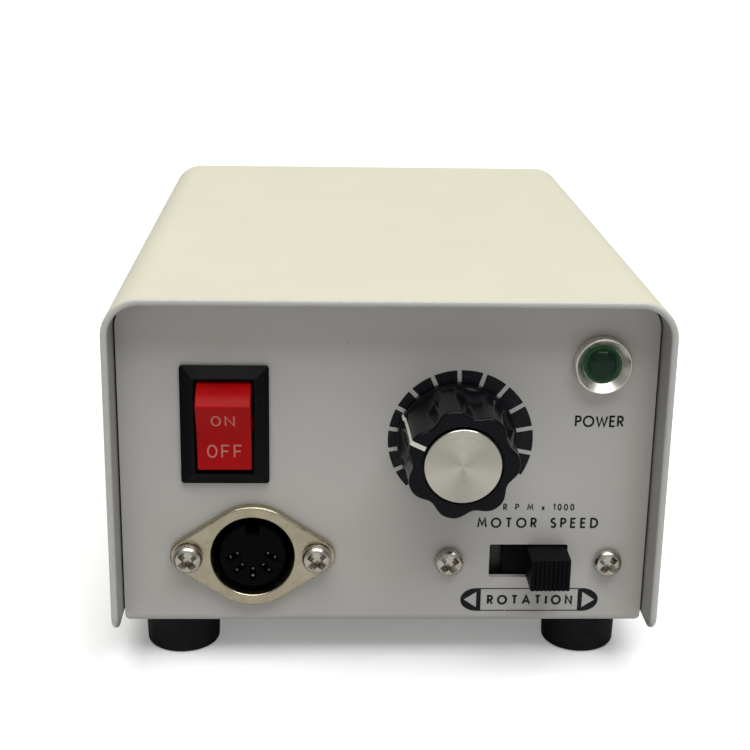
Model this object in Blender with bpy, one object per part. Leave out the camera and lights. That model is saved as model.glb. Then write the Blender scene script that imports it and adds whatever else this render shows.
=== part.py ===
"""Control box of a dental laboratory micromotor.

A folded steel case stands on four rubber feet. Its front carries a rocker switch, a round handpiece
socket, a speed knob, a pilot lamp and a direction slide switch. Its rear carries a cord bush, a fuse
holder, a pedal jack and a hand or pedal selector. Inside are a transformer and a speed control board.

Units are metres and +Z is up. The origin lies on the floor, under the middle of the case.
Each sub-part is modelled on a local seat whose third axis points out of the face that carries it.
"""

import math

import bmesh
import bpy
from mathutils import Matrix, Vector

MM = 0.001

# Clearances, cutting and shading
SEAT = 0.3 * MM
RUN = 0.3 * MM
OVERRUN = 2.0 * MM
LAP = 0.6 * MM
SMOOTH_ANGLE = math.radians(32)
EASE_ANGLE = math.radians(50)
EASE_SHARE = 0.3
ROUND = 24
SMALL_ROUND = 12
CORNER_COUNT = 16
BEND_STEPS = 4

# Case
CASE_WIDTH = 94.0 * MM
CASE_DEPTH = 130.0 * MM
CASE_HEIGHT = 60.5 * MM
SHEET = 1.2 * MM
COVER_BEND = 6.5 * MM
COVER_LIFT = 1.3 * MM
COVER_CORNER = 3.0 * MM
COVER_EDGE = 0.3 * MM
PANEL_RECESS = 7.0 * MM
CHASSIS_BEND = 1.5 * MM
LIP_HEIGHT = 10.0 * MM
LIP_RELIEF = 7.0 * MM

# Feet and their screws
FOOT_RADIUS = 6.8 * MM
FOOT_TAPER = 0.3 * MM
FOOT_HEIGHT = 7.4 * MM
FOOT_EDGE = 0.8 * MM
FOOT_SIDE_INSET = 10.8 * MM
FOOT_END_INSET = 9.5 * MM
FOOT_WELL_RADIUS = 3.3 * MM
FOOT_WELL_DEPTH = 4.4 * MM

# Screws
SCREW_RADIUS = 1.35 * MM
SMALL_HEAD_RADIUS = 2.35 * MM
SMALL_HEAD_HEIGHT = 1.6 * MM
LARGE_HEAD_RADIUS = 2.55 * MM
LARGE_HEAD_HEIGHT = 1.8 * MM
HEAD_DOME_SHARE = 0.45
HEAD_CROWN_SHARE = 0.62
SCREW_LENGTH = 6.0 * MM
COVER_SCREW_HEIGHT = 6.2 * MM
COVER_SCREW_END_INSET = 13.0 * MM

# Power switch
SWITCH_SIDE_INSET = 19.45 * MM
SWITCH_HEIGHT_SHARE = 0.6116
BEZEL_WIDTH = 15.0 * MM
BEZEL_LENGTH = 21.0 * MM
BEZEL_CORNER = 0.5 * MM
BEZEL_RISE = 2.0 * MM
BEZEL_LIP = 0.4 * MM
BEZEL_SLOPE = 1.9 * MM
WELL_EASE = 0.3 * MM
SWITCH_FLANGE = 1.15 * MM
SWITCH_BODY_DEPTH = 15.0 * MM
ROCKER_WIDTH = 9.15 * MM
ROCKER_RADIUS = 8.0 * MM
ROCKER_PIVOT_DEPTH = 0.65 * MM
ROCKER_RISE = 3.68 * MM
ROCKER_SLOPE = math.radians(11)
ROCKER_THROW = math.radians(17)
ROCKER_VALLEY = 1.2 * MM
ROCKER_DEPTH = 2.6 * MM
ROCKER_EDGE = 0.3 * MM
ROCKER_FACE_STEPS = 8
ROCKER_END_STEPS = 6
ROCKER_WELL_DEPTH = 9.5 * MM
TRUNNION_RADIUS = 1.0 * MM
TRUNNION_REACH = 0.9 * MM
BLADE_WIDTH = 6.3 * MM
BLADE_THICKNESS = 0.8 * MM
BLADE_REACH = 7.0 * MM
BLADE_ROOT = 2.5 * MM
BLADE_PITCH = 9.0 * MM

# Handpiece socket
SOCKET_SIDE_INSET = 24.0 * MM
SOCKET_HEIGHT_SHARE = 0.2207
SOCKET_BORE = 7.2 * MM
SOCKET_SHELL = 8.0 * MM
SOCKET_SHELL_DEPTH = 11.0 * MM
SOCKET_LIP = 0.35 * MM
FLANGE_RADIUS = 9.25 * MM
FLANGE_END_RADIUS = 3.15 * MM
FLANGE_SCREW_X = 11.1 * MM
FLANGE_THICKNESS = 1.6 * MM
FLANGE_EDGE = 0.45 * MM
FLANGE_COUNT = 40
INSERT_RADIUS = 5.75 * MM
INSERT_FLANGE_DEPTH = 3.0 * MM
INSERT_DROP = 0.3 * MM
KEY_WIDTH = 2.4 * MM
KEY_DEPTH = 1.8 * MM
CONTACT_CIRCLE = 3.25 * MM
CONTACT_ANGLES = [math.radians(a) for a in (180, 225, 270, 315, 360)]
CONTACT_TURNS = [math.radians(a) for a in (30, 45, 90, 135, 150)]
CONTACT_LENGTH = 2.0 * MM
CONTACT_THICKNESS = 0.45 * MM
CONTACT_DROP = 0.5 * MM
CONTACT_TAIL = 4.0 * MM

# Speed knob
KNOB_X = 11.7 * MM
KNOB_HEIGHT_SHARE = 0.5736
KNOB_HEIGHT = 14.0 * MM
KNOB_LIFT = 0.5 * MM
KNOB_RADIUS = 10.2 * MM
KNOB_SKIRT = 2.2 * MM
KNOB_WALL = 1.9 * MM
KNOB_BORE_WALL = 0.9 * MM
KNOB_RECESS_DEPTH = 5.6 * MM
KNOB_FACE_RADIUS = 9.4 * MM
KNOB_FLUTE_DEPTH = 1.25 * MM
KNOB_FLUTES = 7
KNOB_COUNT = 42
KNOB_FACE_EDGE = 0.35 * MM
KNOB_POINTER_ANGLE = math.radians(155)
FLUTE_WIDTH_POWER = 1.4
FLUTE_RISE_SHARES = (0.0, 0.12, 0.32, 0.62, 1.0)
CAP_RADIUS = 6.35 * MM
CAP_THICKNESS = 0.8 * MM
CAP_PROUD = 0.4 * MM
CAP_EDGE = 0.25 * MM
SET_SCREW_RADIUS = 1.35 * MM
SET_SCREW_LENGTH = 4.2 * MM
SET_SCREW_HEIGHT = 9.2 * MM

# Potentiometer
SHAFT_RADIUS = 3.0 * MM
SHAFT_FLAT = 2.5 * MM
SHAFT_FLAT_START = 5.2 * MM
SHAFT_STEP = 0.3 * MM
SHAFT_HEEL = 6.5 * MM
NECK_RADIUS = 4.5 * MM
NECK_REACH = 4.6 * MM
POT_RADIUS = 12.0 * MM
POT_DEPTH = 10.5 * MM
POT_EDGE = 0.8 * MM
POT_NUT_FLATS = 12.0 * MM
POT_NUT_THICKNESS = 2.2 * MM
TAG_WIDTH = 1.8 * MM
TAG_THICKNESS = 0.8 * MM
TAG_REACH = 6.0 * MM
TAG_PITCH = 5.0 * MM

# Pilot lamp
LAMP_SIDE_INSET = 11.1 * MM
LAMP_HEIGHT_SHARE = 0.795
LAMP_RIM = 4.85 * MM
LAMP_RISE = 2.2 * MM
LAMP_EDGE = 0.35 * MM
LAMP_DISH_RADIUS = 3.35 * MM
LAMP_DISH_FLOOR = 0.25 * MM
LAMP_BARREL = 3.9 * MM
LAMP_BARREL_DEPTH = 12.0 * MM
LENS_RADIUS = 2.55 * MM
LENS_DEPTH = 7.0 * MM
LENS_DROP = 0.2 * MM
LENS_DOME_SHARE = 0.9
LAMP_NUT_FLATS = 10.0 * MM
LAMP_NUT_THICKNESS = 2.4 * MM

# Slide switches
DIRECTION_SIDE_INSET = 21.9 * MM
DIRECTION_HEIGHT_SHARE = 0.195
SLOT_LENGTH = 13.7 * MM
SLOT_HEIGHT = 6.25 * MM
SLIDE_SCREW_X = 13.9 * MM
LEVER_WIDTH = 6.85 * MM
LEVER_REACH = 6.4 * MM
LEVER_RIBS = 8
LEVER_RIB_DEPTH = 0.45 * MM
RUNNER_LENGTH = 15.0 * MM
RUNNER_HEIGHT = 8.4 * MM
RUNNER_THICKNESS = 1.6 * MM
FRAME_WALL = 0.7 * MM
FRAME_DEPTH = 9.0 * MM
EAR_REACH = 3.6 * MM
EAR_MARGIN = 0.5 * MM
EAR_THICKNESS = 0.8 * MM
EAR_CORNER = 1.0 * MM
FRAME_CORNER = 0.5 * MM
RUN_CORNER = 0.25 * MM
SELECTOR_SIDE_INSET = 21.0 * MM
SELECTOR_HEIGHT_SHARE = 0.661

# What stands in one row on the rear panel
REAR_ROW_SHARE = 0.281

# Cord bush
BUSH_SIDE_INSET = 14.0 * MM
BUSH_BORE = 3.6 * MM
BUSH_FLANGE = 8.0 * MM
BUSH_FLANGE_THICKNESS = 2.4 * MM
BUSH_SNOUT = 5.4 * MM
BUSH_REACH = 8.0 * MM
BUSH_NECK = 5.9 * MM
BUSH_BARB = 6.9 * MM
BUSH_TAIL = 8.0 * MM
BUSH_MOUTH = 0.7 * MM

# Fuse holder
FUSE_X = -8.0 * MM
FUSE_RADIUS = 2.6 * MM
FUSE_LENGTH = 20.0 * MM
FUSE_FERRULE = 5.0 * MM
FUSE_GLASS = 2.35 * MM
HOLDER_BORE = 4.0 * MM
HOLDER_BARREL = 6.2 * MM
HOLDER_FLANGE = 7.8 * MM
HOLDER_FLANGE_THICKNESS = 2.0 * MM
HOLDER_EDGE = 0.4 * MM
HOLDER_FLOOR = 3.6 * MM
HOLDER_TAG_RADIUS = 2.0 * MM
HOLDER_TAG_REACH = 4.5 * MM
HOLDER_NUT_FLATS = 16.0 * MM
HOLDER_NUT_THICKNESS = 3.0 * MM
GRIP_RADIUS = 6.0 * MM
GRIP_REACH = 14.0 * MM
GRIP_FLUTES = 12
GRIP_FLUTE_DEPTH = 0.5 * MM
GRIP_COUNT = 36
SPIGOT_RADIUS = 3.65 * MM
SPIGOT_LENGTH = 5.5 * MM
FUSE_CUP_DEPTH = 3.6 * MM
CAP_SLOT_WIDTH = 1.4 * MM
CAP_SLOT_DEPTH = 1.2 * MM

# Pedal jack
JACK_X = 11.0 * MM
JACK_BORE = 3.3 * MM
JACK_NECK = 4.5 * MM
JACK_REACH = 5.2 * MM
JACK_EDGE = 0.4 * MM
JACK_BODY_WIDTH = 16.0 * MM
JACK_BODY_HEIGHT = 14.0 * MM
JACK_BODY_DEPTH = 24.0 * MM
JACK_FLOOR = 1.6 * MM
JACK_CORNER = 1.2 * MM
JACK_NUT_FLATS = 13.0 * MM
JACK_NUT_THICKNESS = 2.6 * MM

# Transformer
TRAFO_SIDE_INSET = 25.0 * MM
TRAFO_FRONT_GAP = 5.7 * MM
TRAFO_REAR_GAP = 9.7 * MM
CORE_ROOF_GAP = 20.5 * MM
CORE_YOKE_SHARE = 1 / 5
CORE_SIDE_SHARE = 1 / 6
CORE_LIMB_SHARE = 1 / 3
CORE_STACK = 24.0 * MM
COIL_SPREAD = 8.0 * MM
COIL_FLANGE = 1.4 * MM
COIL_INSET = 0.9 * MM
COIL_CORNER = 1.5 * MM
STRAP_WIDTH = 18.0 * MM
STRAP_THICKNESS = 1.0 * MM
STRAP_FOOT = 11.0 * MM
STRAP_HOLE_INSET = 4.6 * MM

# Circuit board and what stands on it
BOARD_COIL_GAP = 5.0 * MM
BOARD_LIP_GAP = 3.3 * MM
BOARD_FRONT_GAP = 15.5 * MM
BOARD_REAR_GAP = 2.5 * MM
BOARD_THICKNESS = 1.6 * MM
BOARD_CORNER = 1.0 * MM
LUG_X_INSET = 4.0 * MM
LUG_Y_INSET = 5.0 * MM
LUG_WIDTH = 6.0 * MM
LUG_RISE = 6.7 * MM
TONGUE_WIDTH = 3.0 * MM
TONGUE_REACH = 1.6 * MM
CAPACITOR_GAP = 1.3 * MM
CAPACITOR_RADIUS = 8.0 * MM
CAPACITOR_HEIGHT = 25.0 * MM
CAPACITOR_EDGE = 0.9 * MM
CAPACITOR_GROOVE = 0.7 * MM
CAPACITOR_GROOVE_HEIGHT = 3.0 * MM
SINK_SIDE_INSET = 10.5 * MM
SINK_END_INSET = 18.4 * MM
SINK_WIDTH = 18.0 * MM
SINK_HEIGHT = 25.0 * MM
SINK_BACK = 3.0 * MM
SINK_FIN_REACH = 9.0 * MM
SINK_FIN_THICKNESS = 1.4 * MM
SINK_FINS = 5
DEVICE_WIDTH = 10.0 * MM
DEVICE_HEIGHT = 9.2 * MM
DEVICE_THICKNESS = 4.4 * MM
DEVICE_TAB_HEIGHT = 6.2 * MM
DEVICE_TAB_THICKNESS = 1.3 * MM
DEVICE_LEG_WIDTH = 0.9 * MM
DEVICE_LEG_PITCH = 2.54 * MM
DEVICE_LEG_LENGTH = 4.5 * MM

# Vent slots in the base, under the board
VENT_GAP = 2.1 * MM
VENT_WIDTH = 2.4 * MM
VENT_CORNER = 0.9 * MM
VENT_PITCH = 5.0 * MM
VENTS = 4

# Heights and faces that follow from the sizes above
BASE_Z = FOOT_HEIGHT + SEAT
FLOOR_Z = BASE_Z + SHEET
TOP_Z = BASE_Z + CASE_HEIGHT
COVER_LOW_Z = BASE_Z + COVER_LIFT
PANEL_TOP_Z = TOP_Z - SHEET - SEAT
PANEL_Y = CASE_DEPTH / 2 - PANEL_RECESS
PANEL_HALF = CASE_WIDTH / 2 - SHEET - SEAT
PANEL_BACK = SHEET + SEAT
BOARD_Z = FLOOR_Z + LUG_RISE + SEAT
BOARD_TOP_Z = BOARD_Z + BOARD_THICKNESS
FOOT_X = CASE_WIDTH / 2 - FOOT_SIDE_INSET
FOOT_Y = PANEL_Y - FOOT_END_INSET
SWITCH_X = -CASE_WIDTH / 2 + SWITCH_SIDE_INSET
SWITCH_HEIGHT = CASE_HEIGHT * SWITCH_HEIGHT_SHARE
SOCKET_X = -CASE_WIDTH / 2 + SOCKET_SIDE_INSET
SOCKET_HEIGHT = CASE_HEIGHT * SOCKET_HEIGHT_SHARE
KNOB_AXIS_HEIGHT = CASE_HEIGHT * KNOB_HEIGHT_SHARE
LAMP_X = CASE_WIDTH / 2 - LAMP_SIDE_INSET
LAMP_HEIGHT = CASE_HEIGHT * LAMP_HEIGHT_SHARE
DIRECTION_X = CASE_WIDTH / 2 - DIRECTION_SIDE_INSET
DIRECTION_HEIGHT = CASE_HEIGHT * DIRECTION_HEIGHT_SHARE
SELECTOR_X = CASE_WIDTH / 2 - SELECTOR_SIDE_INSET
SELECTOR_HEIGHT = CASE_HEIGHT * SELECTOR_HEIGHT_SHARE
REAR_ROW_HEIGHT = CASE_HEIGHT * REAR_ROW_SHARE
BUSH_X = -CASE_WIDTH / 2 + BUSH_SIDE_INSET
GRIP_BACK = SEAT + HOLDER_FLANGE_THICKNESS + RUN
SPIGOT_END = GRIP_BACK - SPIGOT_LENGTH
FUSE_OUT = SPIGOT_END + FUSE_CUP_DEPTH - SEAT
FUSE_IN = FUSE_OUT - FUSE_LENGTH
HOLDER_BACK = FUSE_IN - SEAT - HOLDER_FLOOR
TRAFO_X = -CASE_WIDTH / 2 + TRAFO_SIDE_INSET
TRAFO_FRONT = -PANEL_Y + SWITCH_BODY_DEPTH + BLADE_REACH + TRAFO_FRONT_GAP
TRAFO_REAR = PANEL_Y + HOLDER_BACK - HOLDER_TAG_REACH - TRAFO_REAR_GAP
TRAFO_Y = (TRAFO_FRONT + TRAFO_REAR) / 2
CORE_LENGTH = TRAFO_REAR - TRAFO_FRONT - 2 * (STRAP_THICKNESS + SEAT)
CORE_HEIGHT = CASE_HEIGHT - CORE_ROOF_GAP
CORE_YOKE = CORE_HEIGHT * CORE_YOKE_SHARE
CORE_SIDE = CORE_LENGTH * CORE_SIDE_SHARE
CORE_LIMB = CORE_LENGTH * CORE_LIMB_SHARE
STRAP_WALL = CORE_LENGTH / 2 + SEAT
BOARD_LEFT = TRAFO_X + CORE_STACK / 2 + COIL_SPREAD + BOARD_COIL_GAP
BOARD_RIGHT = PANEL_HALF - SHEET - BOARD_LIP_GAP
BOARD_FRONT = -PANEL_Y + PANEL_BACK + FRAME_DEPTH + BOARD_FRONT_GAP
BOARD_REAR = PANEL_Y - PANEL_BACK - JACK_BODY_DEPTH - BOARD_REAR_GAP
BOARD_WIDTH = BOARD_RIGHT - BOARD_LEFT
BOARD_LENGTH = BOARD_REAR - BOARD_FRONT
BOARD_X = (BOARD_LEFT + BOARD_RIGHT) / 2
BOARD_Y = (BOARD_FRONT + BOARD_REAR) / 2
LUG_WINDOW = LUG_RISE + BOARD_THICKNESS
SINK_X = BOARD_RIGHT - SINK_SIDE_INSET
SINK_Y = BOARD_REAR - SINK_END_INSET
CAPACITOR_X = BOARD_X
CAPACITOR_Y = SINK_Y - SEAT - DEVICE_THICKNESS - CAPACITOR_GAP - CAPACITOR_RADIUS
SLIDE_TRAVEL = SLOT_LENGTH - LEVER_WIDTH - 2 * RUN
LEVER_HEIGHT = SLOT_HEIGHT - 2 * RUN

FACINGS = {
    "front": ((1, 0, 0), (0, 0, 1), (0, -1, 0)),
    "rear": ((-1, 0, 0), (0, 0, 1), (0, 1, 0)),
    "right": ((0, 1, 0), (0, 0, 1), (1, 0, 0)),
    "left": ((0, -1, 0), (0, 0, 1), (-1, 0, 0)),
    "up": ((1, 0, 0), (0, 1, 0), (0, 0, 1)),
    "down": ((1, 0, 0), (0, -1, 0), (0, 0, -1)),
}

COLOURS = {
    "cream_paint": ((0.80, 0.77, 0.66), 0.38, 0.0),
    "grey_paint": ((0.42, 0.41, 0.37), 0.40, 0.0),
    "rubber": ((0.012, 0.012, 0.013), 0.65, 0.0),
    "nickel": ((0.62, 0.60, 0.56), 0.25, 1.0),
    "zinc": ((0.66, 0.60, 0.44), 0.32, 1.0),
    "steel": ((0.45, 0.44, 0.42), 0.40, 1.0),
    "chrome": ((0.75, 0.75, 0.75), 0.08, 1.0),
    "aluminium": ((0.78, 0.75, 0.71), 0.30, 1.0),
    "brass": ((0.72, 0.55, 0.25), 0.30, 1.0),
    "black_plastic": ((0.010, 0.010, 0.011), 0.30, 0.0),
    "black_gloss": ((0.006, 0.006, 0.007), 0.12, 0.0),
    "red_plastic": ((0.55, 0.012, 0.014), 0.25, 0.0),
    "green_lens": ((0.005, 0.10, 0.035), 0.08, 0.0),
    "glass": ((0.80, 0.85, 0.82), 0.05, 0.0),
    "board_green": ((0.02, 0.16, 0.06), 0.40, 0.0),
    "coil_tape": ((0.70, 0.45, 0.08), 0.35, 0.0),
    "blue_sleeve": ((0.02, 0.05, 0.20), 0.30, 0.0),
}


def clear_scene():
    """Removes every object that the scene holds."""
    for thing in list(bpy.data.objects):
        bpy.data.objects.remove(thing, do_unlink=True)


def finish(name):
    """Returns the named material, made once from its colour, roughness and metallic value."""
    found = bpy.data.materials.get(name)
    if found:
        return found
    colour, roughness, metallic = COLOURS[name]
    made = bpy.data.materials.new(name)
    made.use_nodes = True
    made.diffuse_color = (*colour, 1.0)
    shader = made.node_tree.nodes["Principled BSDF"]
    shader.inputs["Base Color"].default_value = (*colour, 1.0)
    shader.inputs["Roughness"].default_value = roughness
    shader.inputs["Metallic"].default_value = metallic
    return made


def seat(facing, x, y, z):
    """Returns the placement whose third axis points the way that the carrying face looks."""
    axes = Matrix([Vector(axis) for axis in FACINGS[facing]]).transposed().to_4x4()
    return Matrix.Translation((x, y, z)) @ axes


def on_front(x, height):
    """A seat on the front panel's outer face, its height taken from the case's underside."""
    return seat("front", x, -PANEL_Y, BASE_Z + height)


def on_rear(x, height):
    """A seat on the rear panel's outer face, its height taken from the case's underside."""
    return seat("rear", x, PANEL_Y, BASE_Z + height)


def shifted(place, x=0.0, y=0.0, z=0.0):
    """Moves a placement along its own axes."""
    return place @ Matrix.Translation((x, y, z))


def polar(radius, angle):
    """A point of a circle round the origin."""
    return (radius * math.cos(angle), radius * math.sin(angle))


def circle(radius, count, turn=0.0):
    """A closed ring of points."""
    return [polar(radius, turn + math.tau * i / count) for i in range(count)]


def arc(centre, radius, start, end, steps):
    """Points along an arc, both ends included."""
    angles = [start + (end - start) * i / steps for i in range(steps + 1)]
    return [(centre[0] + radius * math.cos(a), centre[1] + radius * math.sin(a)) for a in angles]


def rectangle(width, height):
    """The four corners of a rectangle round the origin."""
    x, y = width / 2, height / 2
    return [(x, -y), (x, y), (-x, y), (-x, -y)]


def rounded_rectangle(width, height, corner, count=CORNER_COUNT):
    """A rectangle with round corners, its points shared out evenly over the four of them."""
    x, y = width / 2 - corner, height / 2 - corner
    steps = count // 4 - 1
    points = []
    for quarter, (cx, cy) in enumerate(((x, y), (-x, y), (-x, -y), (x, -y))):
        start = quarter * math.pi / 2
        points += arc((cx, cy), corner, start, start + math.pi / 2, steps)
    return points


def matching_circle(radius, count=CORNER_COUNT):
    """A circle whose points pair off with those of a rounded rectangle."""
    return circle(radius, count, math.pi / count)


def hexagon(flats, count):
    """A hexagon read at even angles, so that it pairs off with a circle of as many points."""
    sixth = math.pi / 3
    points = []
    for i in range(count):
        angle = math.tau * i / count
        offset = (angle + sixth / 2) % sixth - sixth / 2
        points.append(polar(flats / 2 / math.cos(offset), angle))
    return points


def arch(half, foot, crown, bend, steps=BEND_STEPS):
    """An open path up one leg, over the crown and down the other leg; a low crown turns it over."""
    way = 1 if crown > foot else -1
    left = arc((bend - half, 0), bend, math.pi, math.pi / 2, steps)
    right = arc((half - bend, 0), bend, math.pi / 2, 0, steps)
    over = [(x, crown - way * (bend - y)) for x, y in left + right]
    return [(-half, foot)] + over + [(half, foot)]


def folded_sheet(half, foot, crown, bend, sheet):
    """The closed outline of a sheet folded to an arch, with half, crown and bend on its outside."""
    way = 1 if crown > foot else -1
    inner = arch(half - sheet, foot, crown - way * sheet, bend - sheet)
    return arch(half, foot, crown, bend) + inner[::-1]


def lift(outline, height):
    """Raises a flat outline to a height on its seat."""
    return [(x, y, height) for x, y in outline]


def skin(sections, closed=False):
    """Bridges sections of equal counts into one body, capped at its ends unless it closes on itself."""
    shape = bmesh.new()
    rings = [[shape.verts.new(point) for point in section] for section in sections]
    pairs = list(zip(rings, rings[1:]))
    if closed:
        pairs.append((rings[-1], rings[0]))
    for near, far in pairs:
        for i in range(len(near)):
            j = (i + 1) % len(near)
            shape.faces.new((near[i], near[j], far[j], far[i]))
    if not closed:
        shape.faces.new(rings[0][::-1])
        shape.faces.new(rings[-1])
    bmesh.ops.recalc_face_normals(shape, faces=shape.faces)
    return shape


def prism(outline, low, high):
    """A straight body on an outline."""
    return skin([lift(outline, low), lift(outline, high)])


def turned(profile, count=ROUND, closed=False):
    """A turned body from (radius, height) pairs."""
    return skin([lift(circle(radius, count), height) for radius, height in profile], closed)


def cylinder(radius, low, high, count=ROUND):
    """A plain turned body."""
    return turned([(radius, low), (radius, high)], count)


def moved(shape, x=0.0, y=0.0, z=0.0):
    """Moves a shape on its seat."""
    bmesh.ops.translate(shape, verts=shape.verts, vec=(x, y, z))
    return shape


def rolled(shape, angle, axis="Z"):
    """Turns a shape about an axis of its seat."""
    bmesh.ops.transform(shape, verts=shape.verts, matrix=Matrix.Rotation(angle, 4, axis))
    return shape


def block(width, height, low, high, x=0.0, y=0.0):
    """A box on a seat, its middle at x and y."""
    return moved(prism(rectangle(width, height), low, high), x, y)


def mesh_of(shapes, name):
    """Puts one shape or several in one mesh."""
    joined = bmesh.new()
    for shape in shapes:
        single = bpy.data.meshes.new(name)
        shape.to_mesh(single)
        shape.free()
        joined.from_mesh(single)
        bpy.data.meshes.remove(single)
    mesh = bpy.data.meshes.new(name)
    joined.to_mesh(mesh)
    joined.free()
    return mesh


def add_object(name, shapes, place):
    """Links an object that holds the shapes, at a placement."""
    thing = bpy.data.objects.new(name, mesh_of(shapes, name))
    thing.matrix_world = place
    bpy.context.scene.collection.objects.link(thing)
    return thing


def add_part(name, shape, place, material):
    """Adds one sub-part with its material, smooth on its round faces."""
    part = add_object(name, [shape], place)
    part.data.shade_smooth()
    part.data.set_sharp_from_angle(angle=SMOOTH_ANGLE)
    part.data.materials.append(finish(material))
    return part


def combine(part, label, shapes, place, operation):
    """Adds a Boolean to a part, with the shapes as a hidden helper."""
    helper = add_object(f"{part.name}_{label}", shapes, place)
    helper.hide_render = True
    helper.display_type = "WIRE"
    modifier = part.modifiers.new(label, "BOOLEAN")
    modifier.operation = operation
    modifier.object = helper


def cut(part, label, shapes, place):
    """Takes the shapes away from a part."""
    combine(part, label, shapes, place, "DIFFERENCE")


def join(part, label, shapes, place):
    """Makes the shapes one body with a part."""
    combine(part, label, shapes, place, "UNION")


def ease_edges(part, width, segments=1):
    """Rounds a part's sharp edges."""
    bevel = part.modifiers.new("eased_edges", "BEVEL")
    bevel.width = width
    bevel.segments = segments
    bevel.limit_method = "ANGLE"
    bevel.angle_limit = EASE_ANGLE


def through(outline, x=0.0, y=0.0):
    """A cutter that passes right through a sheet from its outer face."""
    return moved(prism(outline, -SHEET - OVERRUN, OVERRUN), x, y)


def round_hole(radius, x=0.0, y=0.0, count=ROUND):
    """A cutter for a round hole through a sheet."""
    return through(circle(radius, count), x, y)


def add_screw(name, place, head_radius, head_height):
    """A pan-head screw whose head rests on the seat with the seat's gap below it."""
    low, high = SEAT, SEAT + head_height
    profile = [
        (SCREW_RADIUS, SEAT - SCREW_LENGTH),
        (SCREW_RADIUS, low),
        (head_radius, low),
        (head_radius, low + head_height * HEAD_DOME_SHARE),
        (head_radius * (1 + HEAD_CROWN_SHARE) / 2, high - head_height * (1 - HEAD_CROWN_SHARE) / 2),
        (head_radius * HEAD_CROWN_SHARE, high),
    ]
    return add_part(name, turned(profile, SMALL_ROUND), place, "nickel")


def add_nut(name, place, flats, thickness, hole, material, facing_out=False):
    """A hexagonal nut behind a panel, or in front of it."""
    near = SEAT if facing_out else -PANEL_BACK
    far = near + thickness if facing_out else near - thickness
    outer, inner = hexagon(flats, ROUND), circle(hole + SEAT, ROUND)
    sections = [lift(outer, near), lift(outer, far), lift(inner, far), lift(inner, near)]
    return add_part(name, skin(sections, closed=True), place, material)


def corner_cutters():
    """Cutters that round the lower corners of the cover's two sides, on a seat that faces right."""
    cutters = []
    below, above = COVER_LOW_Z - OVERRUN, COVER_LOW_Z + COVER_CORNER
    for side in (-1, 1):
        edge = side * CASE_DEPTH / 2
        inward, past = edge - side * COVER_CORNER, edge + side * OVERRUN
        start = -math.pi / 2
        curve = arc((inward, above), COVER_CORNER, start, start + side * math.pi / 2, BEND_STEPS)
        outline = [(inward, below), *curve, (past, above), (past, below)]
        cutters.append(prism(outline, -CASE_WIDTH, CASE_WIDTH))
    return cutters


def cover_screw_places():
    """Seats of the four cover screws, by name."""
    z = BASE_Z + COVER_SCREW_HEIGHT
    y = PANEL_Y - COVER_SCREW_END_INSET
    places = {}
    for facing, side in (("left", -1), ("right", 1)):
        for end, way in (("front", -1), ("rear", 1)):
            places[f"{end}_{facing}"] = seat(facing, side * CASE_WIDTH / 2, way * y, z)
    return places


def add_cover():
    """The folded cover, open at both ends and below."""
    outline = folded_sheet(CASE_WIDTH / 2, COVER_LOW_Z, TOP_Z, COVER_BEND, SHEET)
    cover = add_part(
        "cover", prism(outline, -CASE_DEPTH / 2, CASE_DEPTH / 2), seat("front", 0, 0, 0), "cream_paint"
    )
    cut(cover, "corners", corner_cutters(), seat("right", 0, 0, 0))
    ease_edges(cover, COVER_EDGE)
    for label, place in cover_screw_places().items():
        cut(cover, f"hole_{label}", [round_hole(SCREW_RADIUS + SEAT, count=SMALL_ROUND)], place)


def lug_places():
    """The middles of the four board lugs on the base."""
    dx, dy = BOARD_WIDTH / 2 - LUG_X_INSET, BOARD_LENGTH / 2 - LUG_Y_INSET
    return [(BOARD_X + i * dx, BOARD_Y + j * dy) for i in (-1, 1) for j in (-1, 1)]


def board_lug(x, y):
    """A lug lanced up from the base, with shoulders under the board and a tongue through it."""
    half, tongue = LUG_WIDTH / 2, TONGUE_WIDTH / 2
    root, shoulder = BASE_Z + SHEET / 2, FLOOR_Z + LUG_RISE
    tip = BOARD_TOP_Z + TONGUE_REACH
    outline = [
        (x - half, root),
        (x + half, root),
        (x + half, shoulder),
        (x + tongue, shoulder),
        (x + tongue, tip),
        (x - tongue, tip),
        (x - tongue, shoulder),
        (x - half, shoulder),
    ]
    return prism(outline, -y - SHEET / 2, -y + SHEET / 2)


def lug_window(x, y):
    """The opening that a lug leaves in the base, towards the middle, where it was bent up from."""
    way = 1 if y < BOARD_Y else -1
    middle = y + way * (SHEET + LUG_WINDOW) / 2
    return moved(through(rectangle(LUG_WIDTH, LUG_WINDOW)), x, -middle)


def front_cutters():
    """Cutters for the front panel, on a seat at the panel's middle above the case's underside."""
    body_width = BEZEL_WIDTH - 2 * SWITCH_FLANGE
    body_length = BEZEL_LENGTH - 2 * SWITCH_FLANGE
    cutout = rectangle(body_width + 2 * SEAT, body_length + 2 * SEAT)
    cutters = [
        through(cutout, SWITCH_X, SWITCH_HEIGHT),
        round_hole(SOCKET_SHELL + SEAT, SOCKET_X, SOCKET_HEIGHT),
        round_hole(NECK_RADIUS + SEAT, KNOB_X, KNOB_AXIS_HEIGHT),
        round_hole(LAMP_BARREL + SEAT, LAMP_X, LAMP_HEIGHT),
        through(rectangle(SLOT_LENGTH, SLOT_HEIGHT), DIRECTION_X, DIRECTION_HEIGHT),
    ]
    for side in (-1, 1):
        flange_x = SOCKET_X + side * FLANGE_SCREW_X
        slide_x = DIRECTION_X + side * SLIDE_SCREW_X
        cutters.append(round_hole(SCREW_RADIUS + SEAT, flange_x, SOCKET_HEIGHT, SMALL_ROUND))
        cutters.append(round_hole(SCREW_RADIUS + SEAT, slide_x, DIRECTION_HEIGHT, SMALL_ROUND))
    return cutters


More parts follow.
